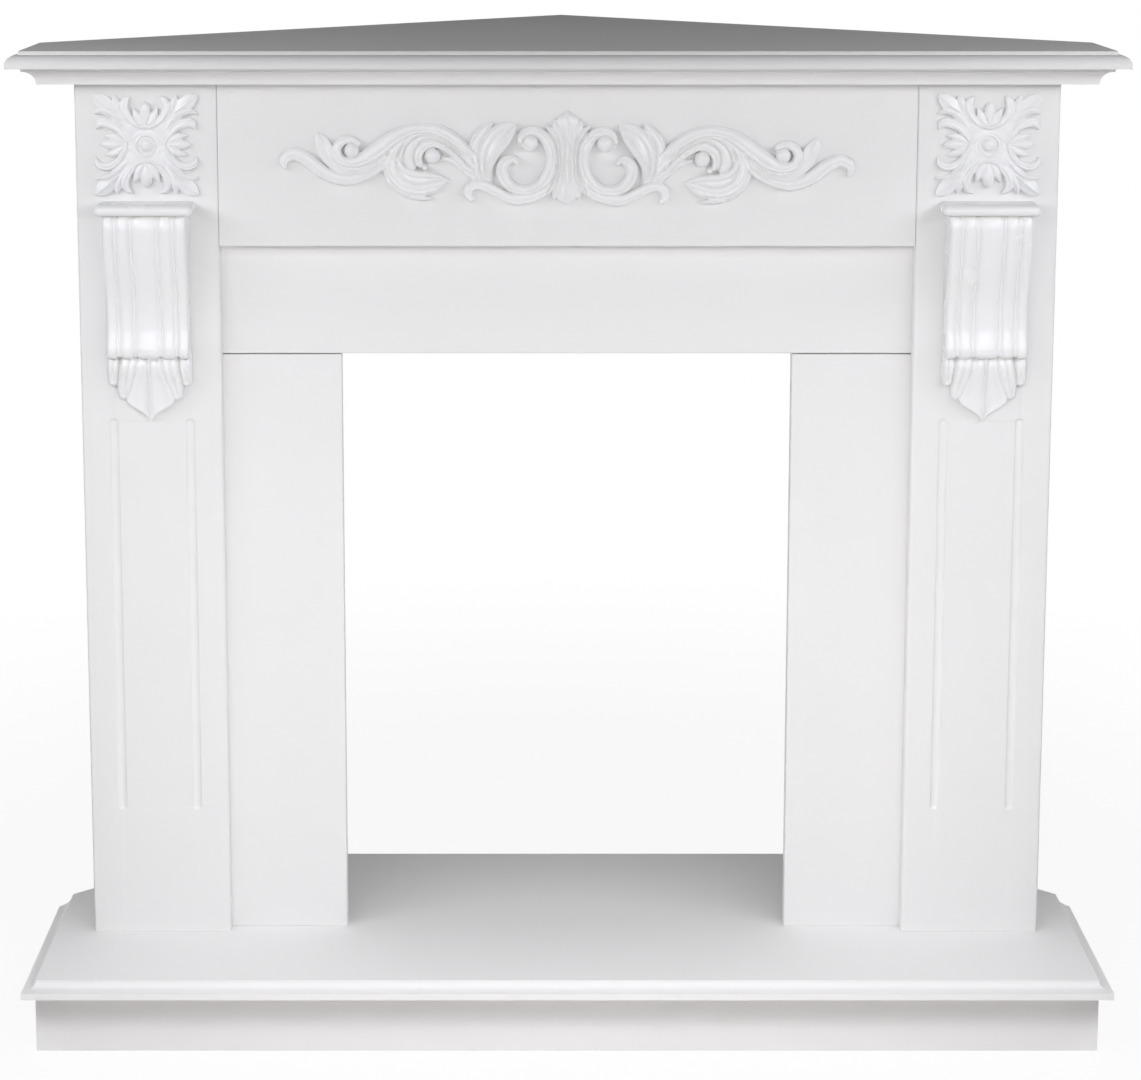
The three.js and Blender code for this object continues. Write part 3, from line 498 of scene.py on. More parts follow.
class Relief:
    """A height field that bands and bosses are painted on."""

    def __init__(self, u_range, v_range, cell):
        self.cell = cell
        self.u = np.arange(u_range[0], u_range[1] + cell, cell)
        self.v = np.arange(v_range[0], v_range[1] + cell, cell)
        shape = (len(self.v), len(self.u))
        self.inside = np.full(shape, -OUTSIDE)
        self.height = np.zeros(shape)

    def paint(self, line, relief, section, edge, rise=0.0):
        """Paints one band over what is there; over its first stretch it rises out of it."""
        along = np.gradient(line[:, :2], axis=0)
        stretch = np.hypot(*along.T)
        along = along / stretch[:, None]
        widest = line[:, 2].max()
        came = np.clip(np.cumsum(stretch) / max(rise, 1e-6), 0.0, 1.0)
        came = came * came * (3.0 - 2.0 * came)
        halves = np.maximum(line[:, 2], THINNEST)
        highs = relief * (TIP_LEVEL + (1.0 - TIP_LEVEL) * np.sqrt(halves / widest))
        highs = highs * (ROOT_LEVEL + (1.0 - ROOT_LEVEL) * came)
        halves_on = np.gradient(halves) / stretch
        highs_on = np.gradient(highs) / stretch
        (low_u, low_v), (high_u, high_v) = line[:, :2].min(0), line[:, :2].max(0)
        reach = widest + MARGIN
        block = span(self.v, low_v - reach, high_v + reach), span(self.u, low_u - reach, high_u + reach)
        own_v, own_u = self.v[block[0]], self.u[block[1]]
        best = np.full((len(own_v), len(own_u)), OUTSIDE)
        across, full, over = np.ones_like(best), np.zeros_like(best), np.zeros_like(best)
        depth = -best
        samples = zip(line, along, halves, highs, halves_on, highs_on, came)
        for (u, v, _), (du, dv), half, high, half_on, high_on, on in samples:
            rows = span(own_v, v - half - MARGIN, v + half + MARGIN)
            columns = span(own_u, u - half - MARGIN, u + half + MARGIN)
            spot = rows, columns
            gv, gu = own_v[rows, None] - v, own_u[None, columns] - u
            ahead, aside = gu * du + gv * dv, du * gv - dv * gu
            away = np.hypot(gu, gv)
            step = np.clip(ahead, -BESIDE, BESIDE)
            beside = np.abs(ahead) < BESIDE
            place = np.where(beside, np.abs(aside) / (half + half_on * step), away / half)
            place = place * np.sign(aside)
            nearer = away / half < best[spot]
            values = (away / half, place, high + high_on * step, on)
            for grid, value in zip((best, across, full, over), values):
                grid[spot] = np.where(nearer, value, grid[spot])
            depth[spot] = np.maximum(depth[spot], half - away)
        height = full * (edge + (1.0 - edge) * section(np.clip(across, -1.0, 1.0)))
        self.lay(depth, height, block, over)

    def lay(self, depth, height, block=(slice(None), slice(None)), over=1.0):
        """Puts a height over what is there, wherever its depth inside the outline is positive."""
        rim = (depth > -RIM * self.cell) & (self.inside[block] < np.minimum(depth, 0.0))
        own = (depth > 0.0) | rim
        there = self.height[block]
        laid = over * height + (1.0 - over) * np.maximum(height, there)
        self.height[block] = np.where(own, laid, there)
        self.inside[block] = np.maximum(self.inside[block], depth)

    def finished(self, distance):
        """The field with its height rounded over by that distance, in the surface's own cells."""
        reach = max(1, int(round(2.5 * distance / self.cell)))
        offsets = np.arange(-reach, reach + 1) * self.cell
        weights = np.exp(-0.5 * (offsets / distance) ** 2)

        def blurred(grid):
            for axis in (0, 1):
                grid = sum(w * np.roll(grid, k - reach, axis) for k, w in enumerate(weights))
            return grid

        mask = (self.inside > -RIM * self.cell).astype(float)
        height = blurred(self.height * mask) / np.maximum(blurred(mask), 1e-9)
        coarse = copy.copy(self)
        coarse.cell = self.cell * FINER
        coarse.u, coarse.v = self.u[::FINER], self.v[::FINER]
        coarse.inside, coarse.height = self.inside[::FINER, ::FINER], height[::FINER, ::FINER]
        return coarse

    def solid(self):
        """Points (u, v, relief) and faces of the closed body: carved front, upright edge, flat back."""
        def at(i, j):
            return self.u[j], self.v[i], self.height[i, j]

        inside = self.inside > 0.0
        surface = inside.sum()
        number = np.full(inside.shape, -1)
        number[inside] = np.arange(surface)
        points = [at(i, j) for i, j in zip(*np.nonzero(inside))]
        crossing = {}

        def cross(here, there):
            """Number of the border point between two corners, of which one is inside the outline."""
            key = first, second = min(here, there), max(here, there)
            if key not in crossing:
                f0, f1 = self.inside[first], self.inside[second]
                t = min(1.0 - BORDER, max(BORDER, f0 / (f0 - f1)))
                crossing[key] = len(points)
                points.append(tuple(a + t * (b - a) for a, b in zip(at(*first), at(*second))))
            return crossing[key]

        counts = inside[:-1, :-1].astype(int) + inside[:-1, 1:] + inside[1:, :-1] + inside[1:, 1:]
        i, j = np.nonzero(counts == 4)
        squares = (number[i, j], number[i, j + 1], number[i + 1, j + 1], number[i + 1, j])
        front = np.stack(squares, 1).tolist()
        walls = []
        for i, j in zip(*np.nonzero((counts > 0) & (counts < 4))):
            corners = [(i, j), (i, j + 1), (i + 1, j + 1), (i + 1, j)]
            ring = []
            for here, there in zip(corners, corners[1:] + corners[:1]):
                if inside[here]:
                    ring.append(number[here])
                if inside[here] != inside[there]:
                    ring.append(cross(here, there))
            front.append(ring)
            walls += [(a, b) for a, b in zip(ring, ring[1:] + ring[:1]) if min(a, b) >= surface]
        total = len(points)
        points += [(u, v, 0.0) for u, v, _ in points]
        faces = [tuple(int(x) for x in f) for f in front]
        faces += [tuple(x + total for x in reversed(f)) for f in faces]
        faces += [(int(b), int(a), int(a) + total, int(b) + total) for a, b in walls]
        return points, faces


def carved(strokes, bosses, size):
    """Points and faces of a carving whose strokes and bosses are painted one over the other."""
    lines = []
    for mirrored, name, relief, rise, points in strokes:
        line, section = smooth_line(points), SECTIONS[name]
        lines.append((line, relief, section, rise))
        if mirrored:
            lines.append((line * (-1.0, 1.0, 1.0), relief, lambda s, own=section: own(-s), rise))
    for u, v, radius, relief in bosses:
        for x in sorted({u, -u}):
            line = np.array([(x, v, radius), (x + BOSS_LENGTH, v, radius)])
            lines.append((line, relief, SECTIONS["round"], 0.0))
    everything = np.vstack([line for line, *_ in lines])
    reach = everything[:, 2:] + EMPTY
    low = (everything[:, :2] - reach).min(0)
    high = (everything[:, :2] + reach).max(0)
    field = Relief((low[0], high[0]), (low[1], high[1]), size.cell / MM / FINER)
    for line, relief, section, rise in lines:
        field.paint(line, relief, section, size.edge, rise)
    return field.finished(size.soften / MM).solid()


# Strokes: (mirrored, section, relief, length over which it rises, [(u, v, half width), ...])
# Bosses: (u, v, radius, relief), the ones off the middle line on both sides of it

# Scroll on the frieze
SCROLL = [
    # Lower tail, its bulb hooked down
    (True, "inner", 8, 14,
     [(14, -20, 4), (19, -30, 5), (29, -37.5, 5.4), (42, -41.5, 5.6), (55, -42, 5.6), (68, -36, 5.6),
      (80, -30, 5.6), (90, -27.5, 5.4), (97, -31, 5), (99, -37, 4.5), (95.5, -42, 3.5)]),
    # Acanthus on the tail: right, top and front lobe
    (True, "leaf", 9, 12,
     [(84, -26, 3), (90, -13, 5), (93.5, 0, 5.5), (92, 12, 5.5), (87, 22, 5.5), (81, 29, 4),
      (75, 34.5, 0.8)]),
    (True, "leaf", 10, 12,
     [(81, -23, 3), (84, -6, 5), (83, 7, 6.5), (77.5, 18, 7), (70, 26.5, 5.5), (61, 32, 3),
      (52, 34, 0.8)]),
    (True, "keel", 11, 12,
     [(77, -24, 3), (78.5, -10, 4.5), (75, 2, 6.5), (69.5, 11.5, 7.5), (62.5, 20, 7), (56.5, 27, 4.5),
      (51.5, 33, 0.8)]),
    # C scroll from its curled eye round to the inner hook
    (True, "inner", 11, 5,
     [(46, 12, 3), (47, 18, 3.6), (43.5, 24.5, 4.2), (35, 27, 5), (26.5, 23.5, 5.6), (19.5, 14.5, 6),
      (16.2, 2, 6), (17, -10, 6), (21.5, -20.5, 6), (29.5, -28.5, 5.6), (39, -32.3, 5.4),
      (49, -31.8, 5.6), (58, -27, 6.2), (63.5, -19.5, 6.5), (64.5, -10.5, 6.5), (60, -3, 5.6),
      (54.5, -1.5, 4), (50.5, -5, 2.4)]),
    # Palmettes above and below the waist on the middle line
    (False, "round", 6.5, 0,
     [(0, -31, 14), (0, -24, 12), (0, -12, 9), (0, 0, 8), (0, 12, 9.5), (0, 22, 13), (0, 28, 15)]),
    (True, "keel", 8, 0,
     [(18.5, -35.5, 1.6), (13, -26, 3.6), (9, -14, 3.2), (8, 0, 3), (9.5, 14, 3.2), (14, 24, 3.8),
      (21, 31.5, 1.6)]),
    (True, "keel", 8.5, 0,
     [(13, -40, 1.4), (11, -35, 3.6), (8, -26, 3.8), (5.4, -14, 3), (4.6, 0, 2.8), (5.6, 14, 3),
      (8.2, 25, 3.8), (11.5, 32.5, 3.8), (13, 37, 1.4)]),
    (False, "keel", 10, 0,
     [(0, -46.5, 0.8), (0, -43, 3.6), (0, -37, 6.6), (0, -26, 4.6), (0, -12, 3.2), (0, 0, 3),
      (0, 12, 3.2), (0, 24, 4.6), (0, 33, 7.2), (0, 38, 6.4), (0, 42.5, 3.2), (0, 46, 0.8)]),
    # Bands that spring from the tail: the lowest and the three round the eye
    (True, "round", 6, 10, [(89, -26, 2.5), (104, -12, 3), (114, -4.5, 3), (124, -1.5, 2)]),
    (True, "inner", 9, 14,
     [(89, -22, 3), (103, -7, 4.4), (113, 3, 4.8), (123, 10, 4.8), (132, 13.2, 4.6), (141, 11.5, 4.8),
      (147.5, 5, 5), (149.5, -3, 5), (146, -9, 3)]),
    (True, "round", 9, 14,
     [(92, -12, 3), (106, 4, 3.6), (118, 13.5, 3.6), (130, 19, 3.6), (142, 20, 4), (151.5, 15.5, 5),
      (157.5, 7, 6), (158.5, -3, 6.4), (154.5, -10.5, 4)]),
    (True, "round", 9, 14,
     [(94, -6, 3), (110, 11, 3.2), (126, 21, 3.2), (141, 24.4, 3.4), (155, 20.5, 4), (164, 12, 5),
      (168.5, 1, 5.6), (167.5, -9, 5), (162, -17, 3)]),
    # Leaf that turns down and back, with its rim
    (True, "round", 5, 10,
     [(172, 0, 5), (167, -14, 7), (156, -22, 7), (143, -25, 6.5), (130, -24.5, 3)]),
    (True, "round", 7, 10,
     [(181, 6, 3), (180.5, -14, 3.6), (174, -28, 3.8), (162, -37.5, 3.4), (148, -41.5, 3),
      (133, -42.5, 1.2)]),
    (True, "leaf", 9, 14,
     [(163, 19, 4), (171, 9, 6), (175.5, -3, 7), (174.5, -15, 8), (167.5, -25.5, 8), (156, -31.5, 8),
      (143, -32, 7.5), (131, -28.5, 6.6), (123, -25.5, 3.4), (117, -24.5, 0.8)]),
    (True, "round", 8, 8,
     [(171, 0, 3), (163.5, -13, 3.6), (153, -17.5, 3.8), (141, -18.5, 3.4), (129, -20, 2.6),
      (119, -23.5, 1)]),
    # Leaf below the volute and the end tail
    (True, "inner", 9, 20,
     [(174, 2, 4), (190, -13, 5), (206, -21.5, 5.4), (222, -24.5, 5.8), (237, -20.5, 6.2),
      (249, -13, 7), (260, -4.5, 7), (270, 0.5, 6.6), (278.5, -1.5, 6), (283, -7, 4.6),
      (281.5, -12.5, 2.6)]),
    (True, "keel", 9, 20,
     [(176, 6, 4), (190, -5.5, 5), (206, -13, 5.4), (220, -14, 6), (231, -9, 6.5), (238.5, 0, 7.5),
      (243, 9, 7.5), (246.5, 16, 5), (248.5, 21, 1.4)]),
    # Main band, which springs from the tail and ends in the volute
    (True, "main", 11, 14,
     [(91, -4, 3.6), (99, 5.5, 4.6), (107, 13, 5.2), (117, 20.4, 5.6), (128, 26, 5.6), (141, 28.4, 5.6),
      (155, 27, 5.8), (167, 22.2, 6.6), (178, 15, 7.6), (189, 6.5, 8.2), (200, -1.2, 7.6), (209, -6, 6),
      (218, -7, 5), (226.5, -3, 4.8), (230, 5, 4.8), (226, 13, 4.8), (217.5, 16, 4.4),
      (209.5, 12.5, 3.6)]),
]
SCROLL_BOSSES = [(37.5, 14.5, 8.4, 11), (215, 5, 7.6, 11), (134.5, 0.5, 7.8, 10), (142, -11, 3.4, 8)]


def arch(*half):
    """Points of a band that rises to the middle line and falls again on the other side."""
    return [*half, *((-u, v, width) for u, v, width in half[-2::-1])]


# Rosette at the head of a pilaster
ROSETTE = [
    # Smooth plate that reaches into the corners
    (False, "round", 4.4, 0, [(-6, 0, 15), (6, 0, 15)]),
    (True, "round", 4.4, 30, [(0, 0, 12), (12, 11, 12), (22, 21.5, 8), (33, 33, 6.5), (40, 39, 4)]),
    (True, "round", 4.4, 30,
     [(0, 0, 12), (12, -12, 12), (22, -22.5, 8), (33, -33.5, 6.5), (40, -40, 4)]),
    # Corner lobes
    (True, "keel", 6.5, 14,
     [(20, 20, 4), (29, 29.5, 5), (38, 38.5, 7.6), (44.5, 44, 6.4), (51.5, 49, 0.8)]),
    (True, "keel", 6.5, 14,
     [(20, -21, 4), (29, -30.5, 5), (38, -39.5, 7.6), (44.5, -45, 6.4), (51.5, -50, 0.8)]),
    # Lobes beside them on the upper and lower edges, then on the side edges
    (True, "keel", 6, 14, [(14, 17.5, 3), (21, 27, 3.4), (27, 38, 4), (29.5, 44, 3.2), (30.5, 48, 1)]),
    (True, "keel", 6, 14,
     [(14, -18.5, 3), (21, -28, 3.4), (27, -38.5, 4), (29, -44, 3.2), (30, -48.5, 1)]),
    (True, "keel", 6, 14, [(18, 12, 3), (26, 23, 3.2), (35, 31, 3.4), (43, 33.4, 3.2), (51, 31, 1)]),
    (True, "keel", 6, 14,
     [(18, -13, 3), (26, -24.5, 3), (35, -31.5, 3.2), (43, -34, 3), (51, -33.4, 1)]),
    # Arcs round the buds, each with its hooked end
    (False, "outer", 6, 0, arch(
        (-16, 47.5, 1), (-19.5, 43.5, 3.6), (-21, 37, 4.6), (-17.5, 28, 4), (-10, 20.4, 3),
        (0, 17, 2.6))),
    (False, "inner", 6, 0, arch(
        (-14.5, -48.5, 1), (-19.5, -45, 3.6), (-21.5, -38, 4.6), (-18, -29, 4), (-10.5, -21.4, 3),
        (0, -18, 2.6))),
    (True, "outer", 6, 0,
     [(50.5, -13.5, 1), (48.5, -19, 3.2), (42, -22.4, 4), (33.5, -20.4, 3.8), (26, -14, 3.2),
      (21.5, -6, 2.8), (20.5, 1, 2.6), (23, 9, 3), (29.5, 16.6, 4), (38, 21, 4.8), (45.5, 21.4, 4.6),
      (49.5, 15.5, 1)]),
    # Buds with their side petals
    (True, "round", 4.5, 0, [(0, 19.5, 2), (5.4, 22.4, 3.4), (8.4, 28.5, 4), (12, 35.5, 1)]),
    (True, "round", 4.5, 0, [(0, -20.5, 2), (6, -24, 3.6), (9.2, -31, 4), (12.8, -37.5, 1)]),
    (True, "round", 4.5, 0, [(22, 1, 2), (27, 5.4, 3.2), (33.5, 8, 3.6), (41, 8.8, 1)]),
    (True, "round", 4.5, 0, [(22, -1, 2), (27, -6, 3.2), (33.5, -9, 3.6), (41, -10.4, 1)]),
    (False, "round", 6, 0, [(0, 20.5, 1.6), (0, 27, 4.2), (0, 34, 5.2), (0, 38, 3.8), (0, 41.4, 1)]),
    (False, "round", 6, 0, [(0, -21.5, 1.6), (0, -28, 4.6), (0, -35, 6), (0, -39, 4.4), (0, -42.6, 1)]),
    (True, "round", 5.5, 0, [(22.5, 0, 1.4), (29, 0, 3.6), (36, 0, 4.8), (41, 0, 3.2), (44.6, 0, 1)]),
]
ROSETTE_BOSSES = [(0, -1, 12, 5.4), (0, -1, 9, 3.6), (0, -1, 6.4, 6.4)]

# Corbel, from the foot of its ribs: (height, reach) of its side, then the lines between ribs and beads
CORBEL_SIDE = [(0, 19), (2, 22.5), (5, 24.6), (10, 25), (18, 23), (30, 20.4), (42, 19.6), (55, 20.6),
               (68, 23.6), (80, 27.4), (95, 32), (110, 35.8), (125, 38), (136, 38.2), (144, 36.4),
               (148, 34)]
CORBEL_LINES = [-41.5, -30.2, -27.4, -14.4, -11.6, 11.6, 14.4, 27.4, 30.2, 41.5]
RIBS_FOOT = 67 * MM  # height of the ribs' foot above the foot of the corbel's node
RIB_GROOVE = 4.2  # depth between two wide ribs
RIB_POWER = 2.6  # shape of a rib's section: 2 is round, and more is squarer
BEAD_WIDTH = 4.0  # what is narrower, from line to line, is a bead
BEAD_LEVEL = 0.62  # height of a bead, as a share of the ribs'
SCALLOP = 3.4  # how far a rib's rounded end draws in
LEAST_BODY = 1.0  # least reach of the ribbed body
CAP_END = 0.02  # radius left at a cap's ends, as a share of its nose

# Leaf below the ribs: outer and middle lobes as strokes, then by height half the width of the shield
# between them, and the relief of the whole leaf
LEAF_LOBES = [
    ("pair", 1.0, [(35.8, 3, 6.4), (36.2, -8, 6.6), (36.6, -17, 6.2), (37, -24, 5.6)]),
    ("pair", 1.1, [(20, 3, 9.6), (21.4, -10, 9.4), (23.6, -22, 9), (26, -31.5, 7.4), (27.2, -38, 5.6)]),
]
SHIELD = [(3, 11.8), (-10, 13), (-20, 15.2), (-30, 18.8), (-38, 22), (-43, 24.4), (-46.5, 23),
          (-50, 18.5), (-54, 12), (-58, 6), (-62, 2.4), (-66, 0.2)]
LEAF_ROLL = [(4, 13.5), (-2, 16.5), (-8, 18), (-14, 17.4), (-24, 14.6), (-40, 11.2), (-56, 8.6),
             (-68, 6.4)]
LEAF_TOP = 3.0  # how far the leaf reaches up behind the ribs
LEAF_TIP = -65.2  # its lowest point
LOBE_EDGE = 0.45  # height of a lobe's edge, as a share of its relief
SHIELD_LEVEL = 1.16  # height of the shield, as a share of the leaf's roll
SHIELD_FALL = 0.28  # share of it that falls away at the outline
WING_HOLLOW = 0.24  # depth of the hollow in each of its wings, as such a share
VEIN_RISE = 0.08  # height of its middle vein, as such a share
VEIN_HALF = 1.6  # half width of that vein


def curve_through(points, at):
    """Second values of a smooth line through [place, value] pairs, read at the given places."""
    line = smooth_line([(a, b, 1.0) for a, b in points])
    order = np.argsort(line[:, 0])
    return np.interp(at, line[order, 0], line[order, 1])


def leaf_field(half, high, cell):
    """The leaf alone: its lobes rise and fall with the roll of the whole leaf."""
    side, foot = half + LEAF_MARGIN, LEAF_TIP - LEAF_MARGIN
    field = Relief((-side, side), (foot, high + EMPTY), cell)
    roll = curve_through(LEAF_ROLL, field.v)[:, None]
    for section, share_of_roll, points in LEAF_LOBES:
        line = smooth_line(points)
        for turn in (1.0, -1.0):
            field.paint(line * (turn, 1.0, 1.0), share_of_roll, SECTIONS[section], LOBE_EDGE)
    wide = curve_through(SHIELD, field.v)[:, None]
    u, v = np.abs(field.u)[None, :], field.v[:, None]
    t = np.clip(u / np.maximum(wide, 0.3), 0.0, 1.0)
    vein = VEIN_RISE * np.exp(-(u / VEIN_HALF) ** 2)
    wings = 1.0 - WING_HOLLOW * np.sin(t ** 0.8 * math.pi) + vein
    level = SHIELD_LEVEL * wings * ((1.0 - SHIELD_FALL) + SHIELD_FALL * np.sqrt(1.0 - t ** 8))
    field.lay(np.minimum(wide - u, np.minimum(LEAF_TOP - v, v - LEAF_TIP)), level)
    field.height = field.height * roll
    return field


def corbel_body(high, size):
    """Points and faces of the ribbed body over its leaf, from their common height field."""
    half = CORBEL_LINES[-1]
    field = leaf_field(half, high, size.cell / MM / FINER)
    reach = curve_through([(z * high / CORBEL_SIDE[-1][0], out) for z, out in CORBEL_SIDE], field.v)
    rib, ends = np.zeros_like(field.u), np.zeros_like(field.u)
    for a, b in zip(CORBEL_LINES, CORBEL_LINES[1:]):
        x = np.abs((field.u - (a + b) / 2) / ((b - a) / 2))
        back = np.sqrt(np.clip(1.0 - x ** RIB_POWER, 0.0, 1.0))
        level = 1.0 if b - a > BEAD_WIDTH else BEAD_LEVEL
        rib = np.where(x <= 1.0, back * RIB_GROOVE * level, rib)
        ends = np.where(x <= 1.0, SCALLOP * (1.0 - back * level), ends)
    body = reach[:, None] - RIB_GROOVE + rib[None, :]
    v = field.v[:, None]
    across = half - np.abs(field.u)[None, :]
    depth = np.minimum(across, np.minimum(v - ends[None, :], high - v))
    field.lay(depth, np.maximum(body, LEAST_BODY))
    return field.finished(size.soften / MM).solid()


# Operators: one for each piece or group of like pieces

def dress(slot, bevel, *starts):
    """Gives the nodes whose names start so their finish and, with a bevel, softened edges."""
    for name, node in nodes.items():
        if not name.startswith(starts):
            continue
        node.data.materials.clear()
        node.data.materials.append(material(slot))
        if bevel > 0.0:
            weld = node.modifiers.new("weld", "WELD")
            weld.merge_threshold = 0.01 * MM
            soft = node.modifiers.new("edges", "BEVEL")
            soft.width = bevel
            soft.segments = 2
            soft.limit_method = "ANGLE"
            soft.angle_limit = SHARP
            soft.harden_normals = True


class SURROUND_OT_moulded_boards(Operator):
    """Mantel shelf, cornice and hearth with their mouldings"""

    bl_idname = "surround.moulded_boards"
    bl_label = "Moulded boards"

    def execute(self, context):
        size = context.scene.surround_boards
        thick, out = thickness("mantel_shelf"), size.shelf_out
        nose, quirk, ovolo = size.ovolo_nose, size.ovolo_quirk, thick - size.ovolo_fillet
        moulded_board("mantel_shelf", out, [
            (out, 0.0), *arc((quirk, nose), (out - quirk, ovolo - nose), 0, 90),
            (0.0, ovolo), (0.0, thick),
        ])
        thick, out = thickness("cornice_board"), size.cornice_out
        cove = thick - size.cornice_fillet
        moulded_board("cornice_board", out, [*arc((out, 0.0), (out, cove), 180, 90), (out, thick)])
        thick, out = thickness("hearth_board"), size.hearth_out
        cove = arc((out, thick - size.hearth_quirk), (out, size.hearth_cove), 270, 180)
        moulded_board("hearth_board", out, [(out, 0.0), *cove, (0.0, thick)], straight_rear=True)
        return {"FINISHED"}


class SURROUND_OT_pilasters(Operator):
    """Pilasters with their flutes"""

    bl_idname = "surround.pilasters"
    bl_label = "Pilasters"

    def execute(self, context):
        size = context.scene.surround_boards
        ends = size.flute_wide / 2 * (1 - np.cos(QUARTER))
        for label, _ in SIDES:
            name = f"pilaster_{label}"
            low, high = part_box(name)
            heights = [low.z, *(size.flute_low + ends), *(size.flute_high - ends[::-1]), high.z]
            points, faces = loft([self.section(size, low, high, z) for z in heights])
            piece(f"{name}_fluted", points, faces, "satin_lacquer", name)
        return {"FINISHED"}

    def section(self, size, low, high, z):
        """Level section of a pilaster: each flute is part of a round groove, with round ends."""
        half, deep, r = size.flute_wide / 2, size.flute_deep, size.pilaster_round
        radius = (half ** 2 + deep ** 2) / (2 * deep)
        inset = min(z - size.flute_low, size.flute_high - z) / half
        inset = min(1.0, max(0.0, inset))
        beyond = (1 - inset) * half
        middle = (low.x + high.x) / 2
        front = [(low.x, high.y), *arc((low.x + r, low.y + r), (r, r), 180, 270, CORNER_STEPS)]
        for x in (middle - size.flute_at, middle + size.flute_at):
            for s in np.linspace(-1, 1, FLUTE_STEPS + 1):
                away = math.hypot(s * half, beyond)
                sunk = math.sqrt(max(0.0, radius ** 2 - away ** 2)) - (radius - deep)
                front.append((x + s * half, low.y + max(0.0, sunk)))
        front += [*arc((high.x - r, low.y + r), (r, r), 270, 360, CORNER_STEPS), (high.x, high.y)]
        return [(x, y, z) for x, y in front]


class SURROUND_OT_flat_boards(Operator):
    """Frieze, header, side panels, side boards and the lacquered plinth boards"""

    bl_idname = "surround.flat_boards"
    bl_label = "Flat boards"

    def execute(self, context):
        bevel = context.scene.surround_boards.bevel
        dress("satin_lacquer", bevel, "frieze_board", "header", "side_", "plinth_front", "plinth_side")
        return {"FINISHED"}


class SURROUND_OT_frieze_scroll(Operator):
    """Carved scroll on the frieze"""

    bl_idname = "surround.frieze_scroll"
    bl_label = "Frieze scroll"

    def execute(self, context):
        size = context.scene.surround_carving
        points, faces = carved(SCROLL, SCROLL_BOSSES, size)
        c, s = math.cos(size.scroll_tilt), math.sin(size.scroll_tilt)
        points = [(u * c - v * s, u * s + v * c, h) for u, v, h in points]
        carving("scroll_carving", "frieze_scroll", points, faces, size.scroll_z, 0.0)
        return {"FINISHED"}


class SURROUND_OT_rosettes(Operator):
    """Square rosettes at the heads of the pilasters"""

    bl_idname = "surround.rosettes"
    bl_label = "Rosettes"

    def execute(self, context):
        size = context.scene.surround_carving
        points, faces = carved(ROSETTE, ROSETTE_BOSSES, size)
        for label, _ in SIDES:
            name = f"rosette_{label}"
            carving(f"{name}_carving", name, points, faces, size.rosette_z)
        return {"FINISHED"}


class SURROUND_OT_corbels(Operator):
    """Ribbed corbels with their leaves and bull-nosed caps"""

    bl_idname = "surround.corbels"
    bl_label = "Corbels"

    def execute(self, context):
        size = context.scene.surround_carving
        for label, _ in SIDES:
            name = f"corbel_{label}"
            low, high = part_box(name)
            foot = low.z + RIBS_FOOT
            points, faces = corbel_body((high.z - foot) / MM, size)
            carving(f"{name}_carving", name, points, faces, foot)
            self.cap(f"corbel_cap_{label}")
        return {"FINISHED"}

    def cap(self, name):
        """Bar with a half-round front and rounded ends."""
        low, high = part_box(name)
        r = (high.z - low.z) / 2
        mid = (low.z + high.z) / 2
        rings = []
        ends = r * (1 - np.sin(QUARTER))
        for x in (*(low.x + ends[::-1]), *(high.x - ends)):
            off = max(0.0, low.x + r - x, x - high.x + r)
            here = math.sqrt(max(r * r - off * off, (CAP_END * r) ** 2))
            nose = arc((low.y + r, mid), (here, here), 90, 270)
            rings.append([(x, y, z) for y, z in [(high.y, mid + here), *nose, (high.y, mid - here)]])
        points, faces = loft(rings)
        piece(f"{name}_bar", points, [tuple(reversed(f)) for f in faces], "casting_white", name)


class SURROUND_OT_hidden_boards(Operator):
    """Battens, wall rails and the boards inside the plinth"""

    bl_idname = "surround.hidden_boards"
    bl_label = "Hidden boards"

    def execute(self, context):
        dress("raw_board", RAW_BEVEL, "wall_rail", "plinth_slant", "plinth_bearer", "plinth_rear")
        dress("pine", PINE_BEVEL, "corner_batten", "plinth_block")
        return {"FINISHED"}


class SURROUND_OT_brackets(Operator):
    """Steel brackets and their screws"""

    bl_idname = "surround.brackets"
    bl_label = "Brackets"

    def execute(self, context):
        dress("zinc_steel", STEEL_BEVEL, "bracket_")
        dress("zinc_steel", 0.0, "screw_")
        return {"FINISHED"}


# Lamps, in metres: place, target, and width and height. The first two stand on both sides.
SIDE_LAMP = ((1.0, -0.95, 1.2), (0.2, FACE_Y, 0.5), (0.9, 0.4))
REAR_LAMP = ((1.35, 0.95, 0.3), (0.0, 0.0, 0.6), (0.8, 0.4))
HIGH_LAMP = ((0.0, -2.0, 1.35), (0.0, FACE_Y, 0.6), (1.8, 0.3))
HEARTH_LAMP = ((0.0, -1.25, 0.98), (0.0, -1.2, 0.0), (1.4, 0.3))
LOW_LAMP = ((0.0, -0.95, 0.34), (0.0, FACE_Y, 0.03), (1.1, 0.3))

CAMERA = {"sensor_width": 36.0, "lens": 95.9, "shift_x": 0.037, "shift_y": -0.15, "clip_end": 60.0}
CAMERA_PLACE = (-0.039, -3.27225, 1.1927)
CAMERA_PITCH = 9.65  # degrees below level

FLOOR_REACH = 14.0  # half the floor's side
FADE = {"From Min": 0.6, "From Max": 1.8, "To Min": 0.92, "To Max": 1.0}  # distance to share of white


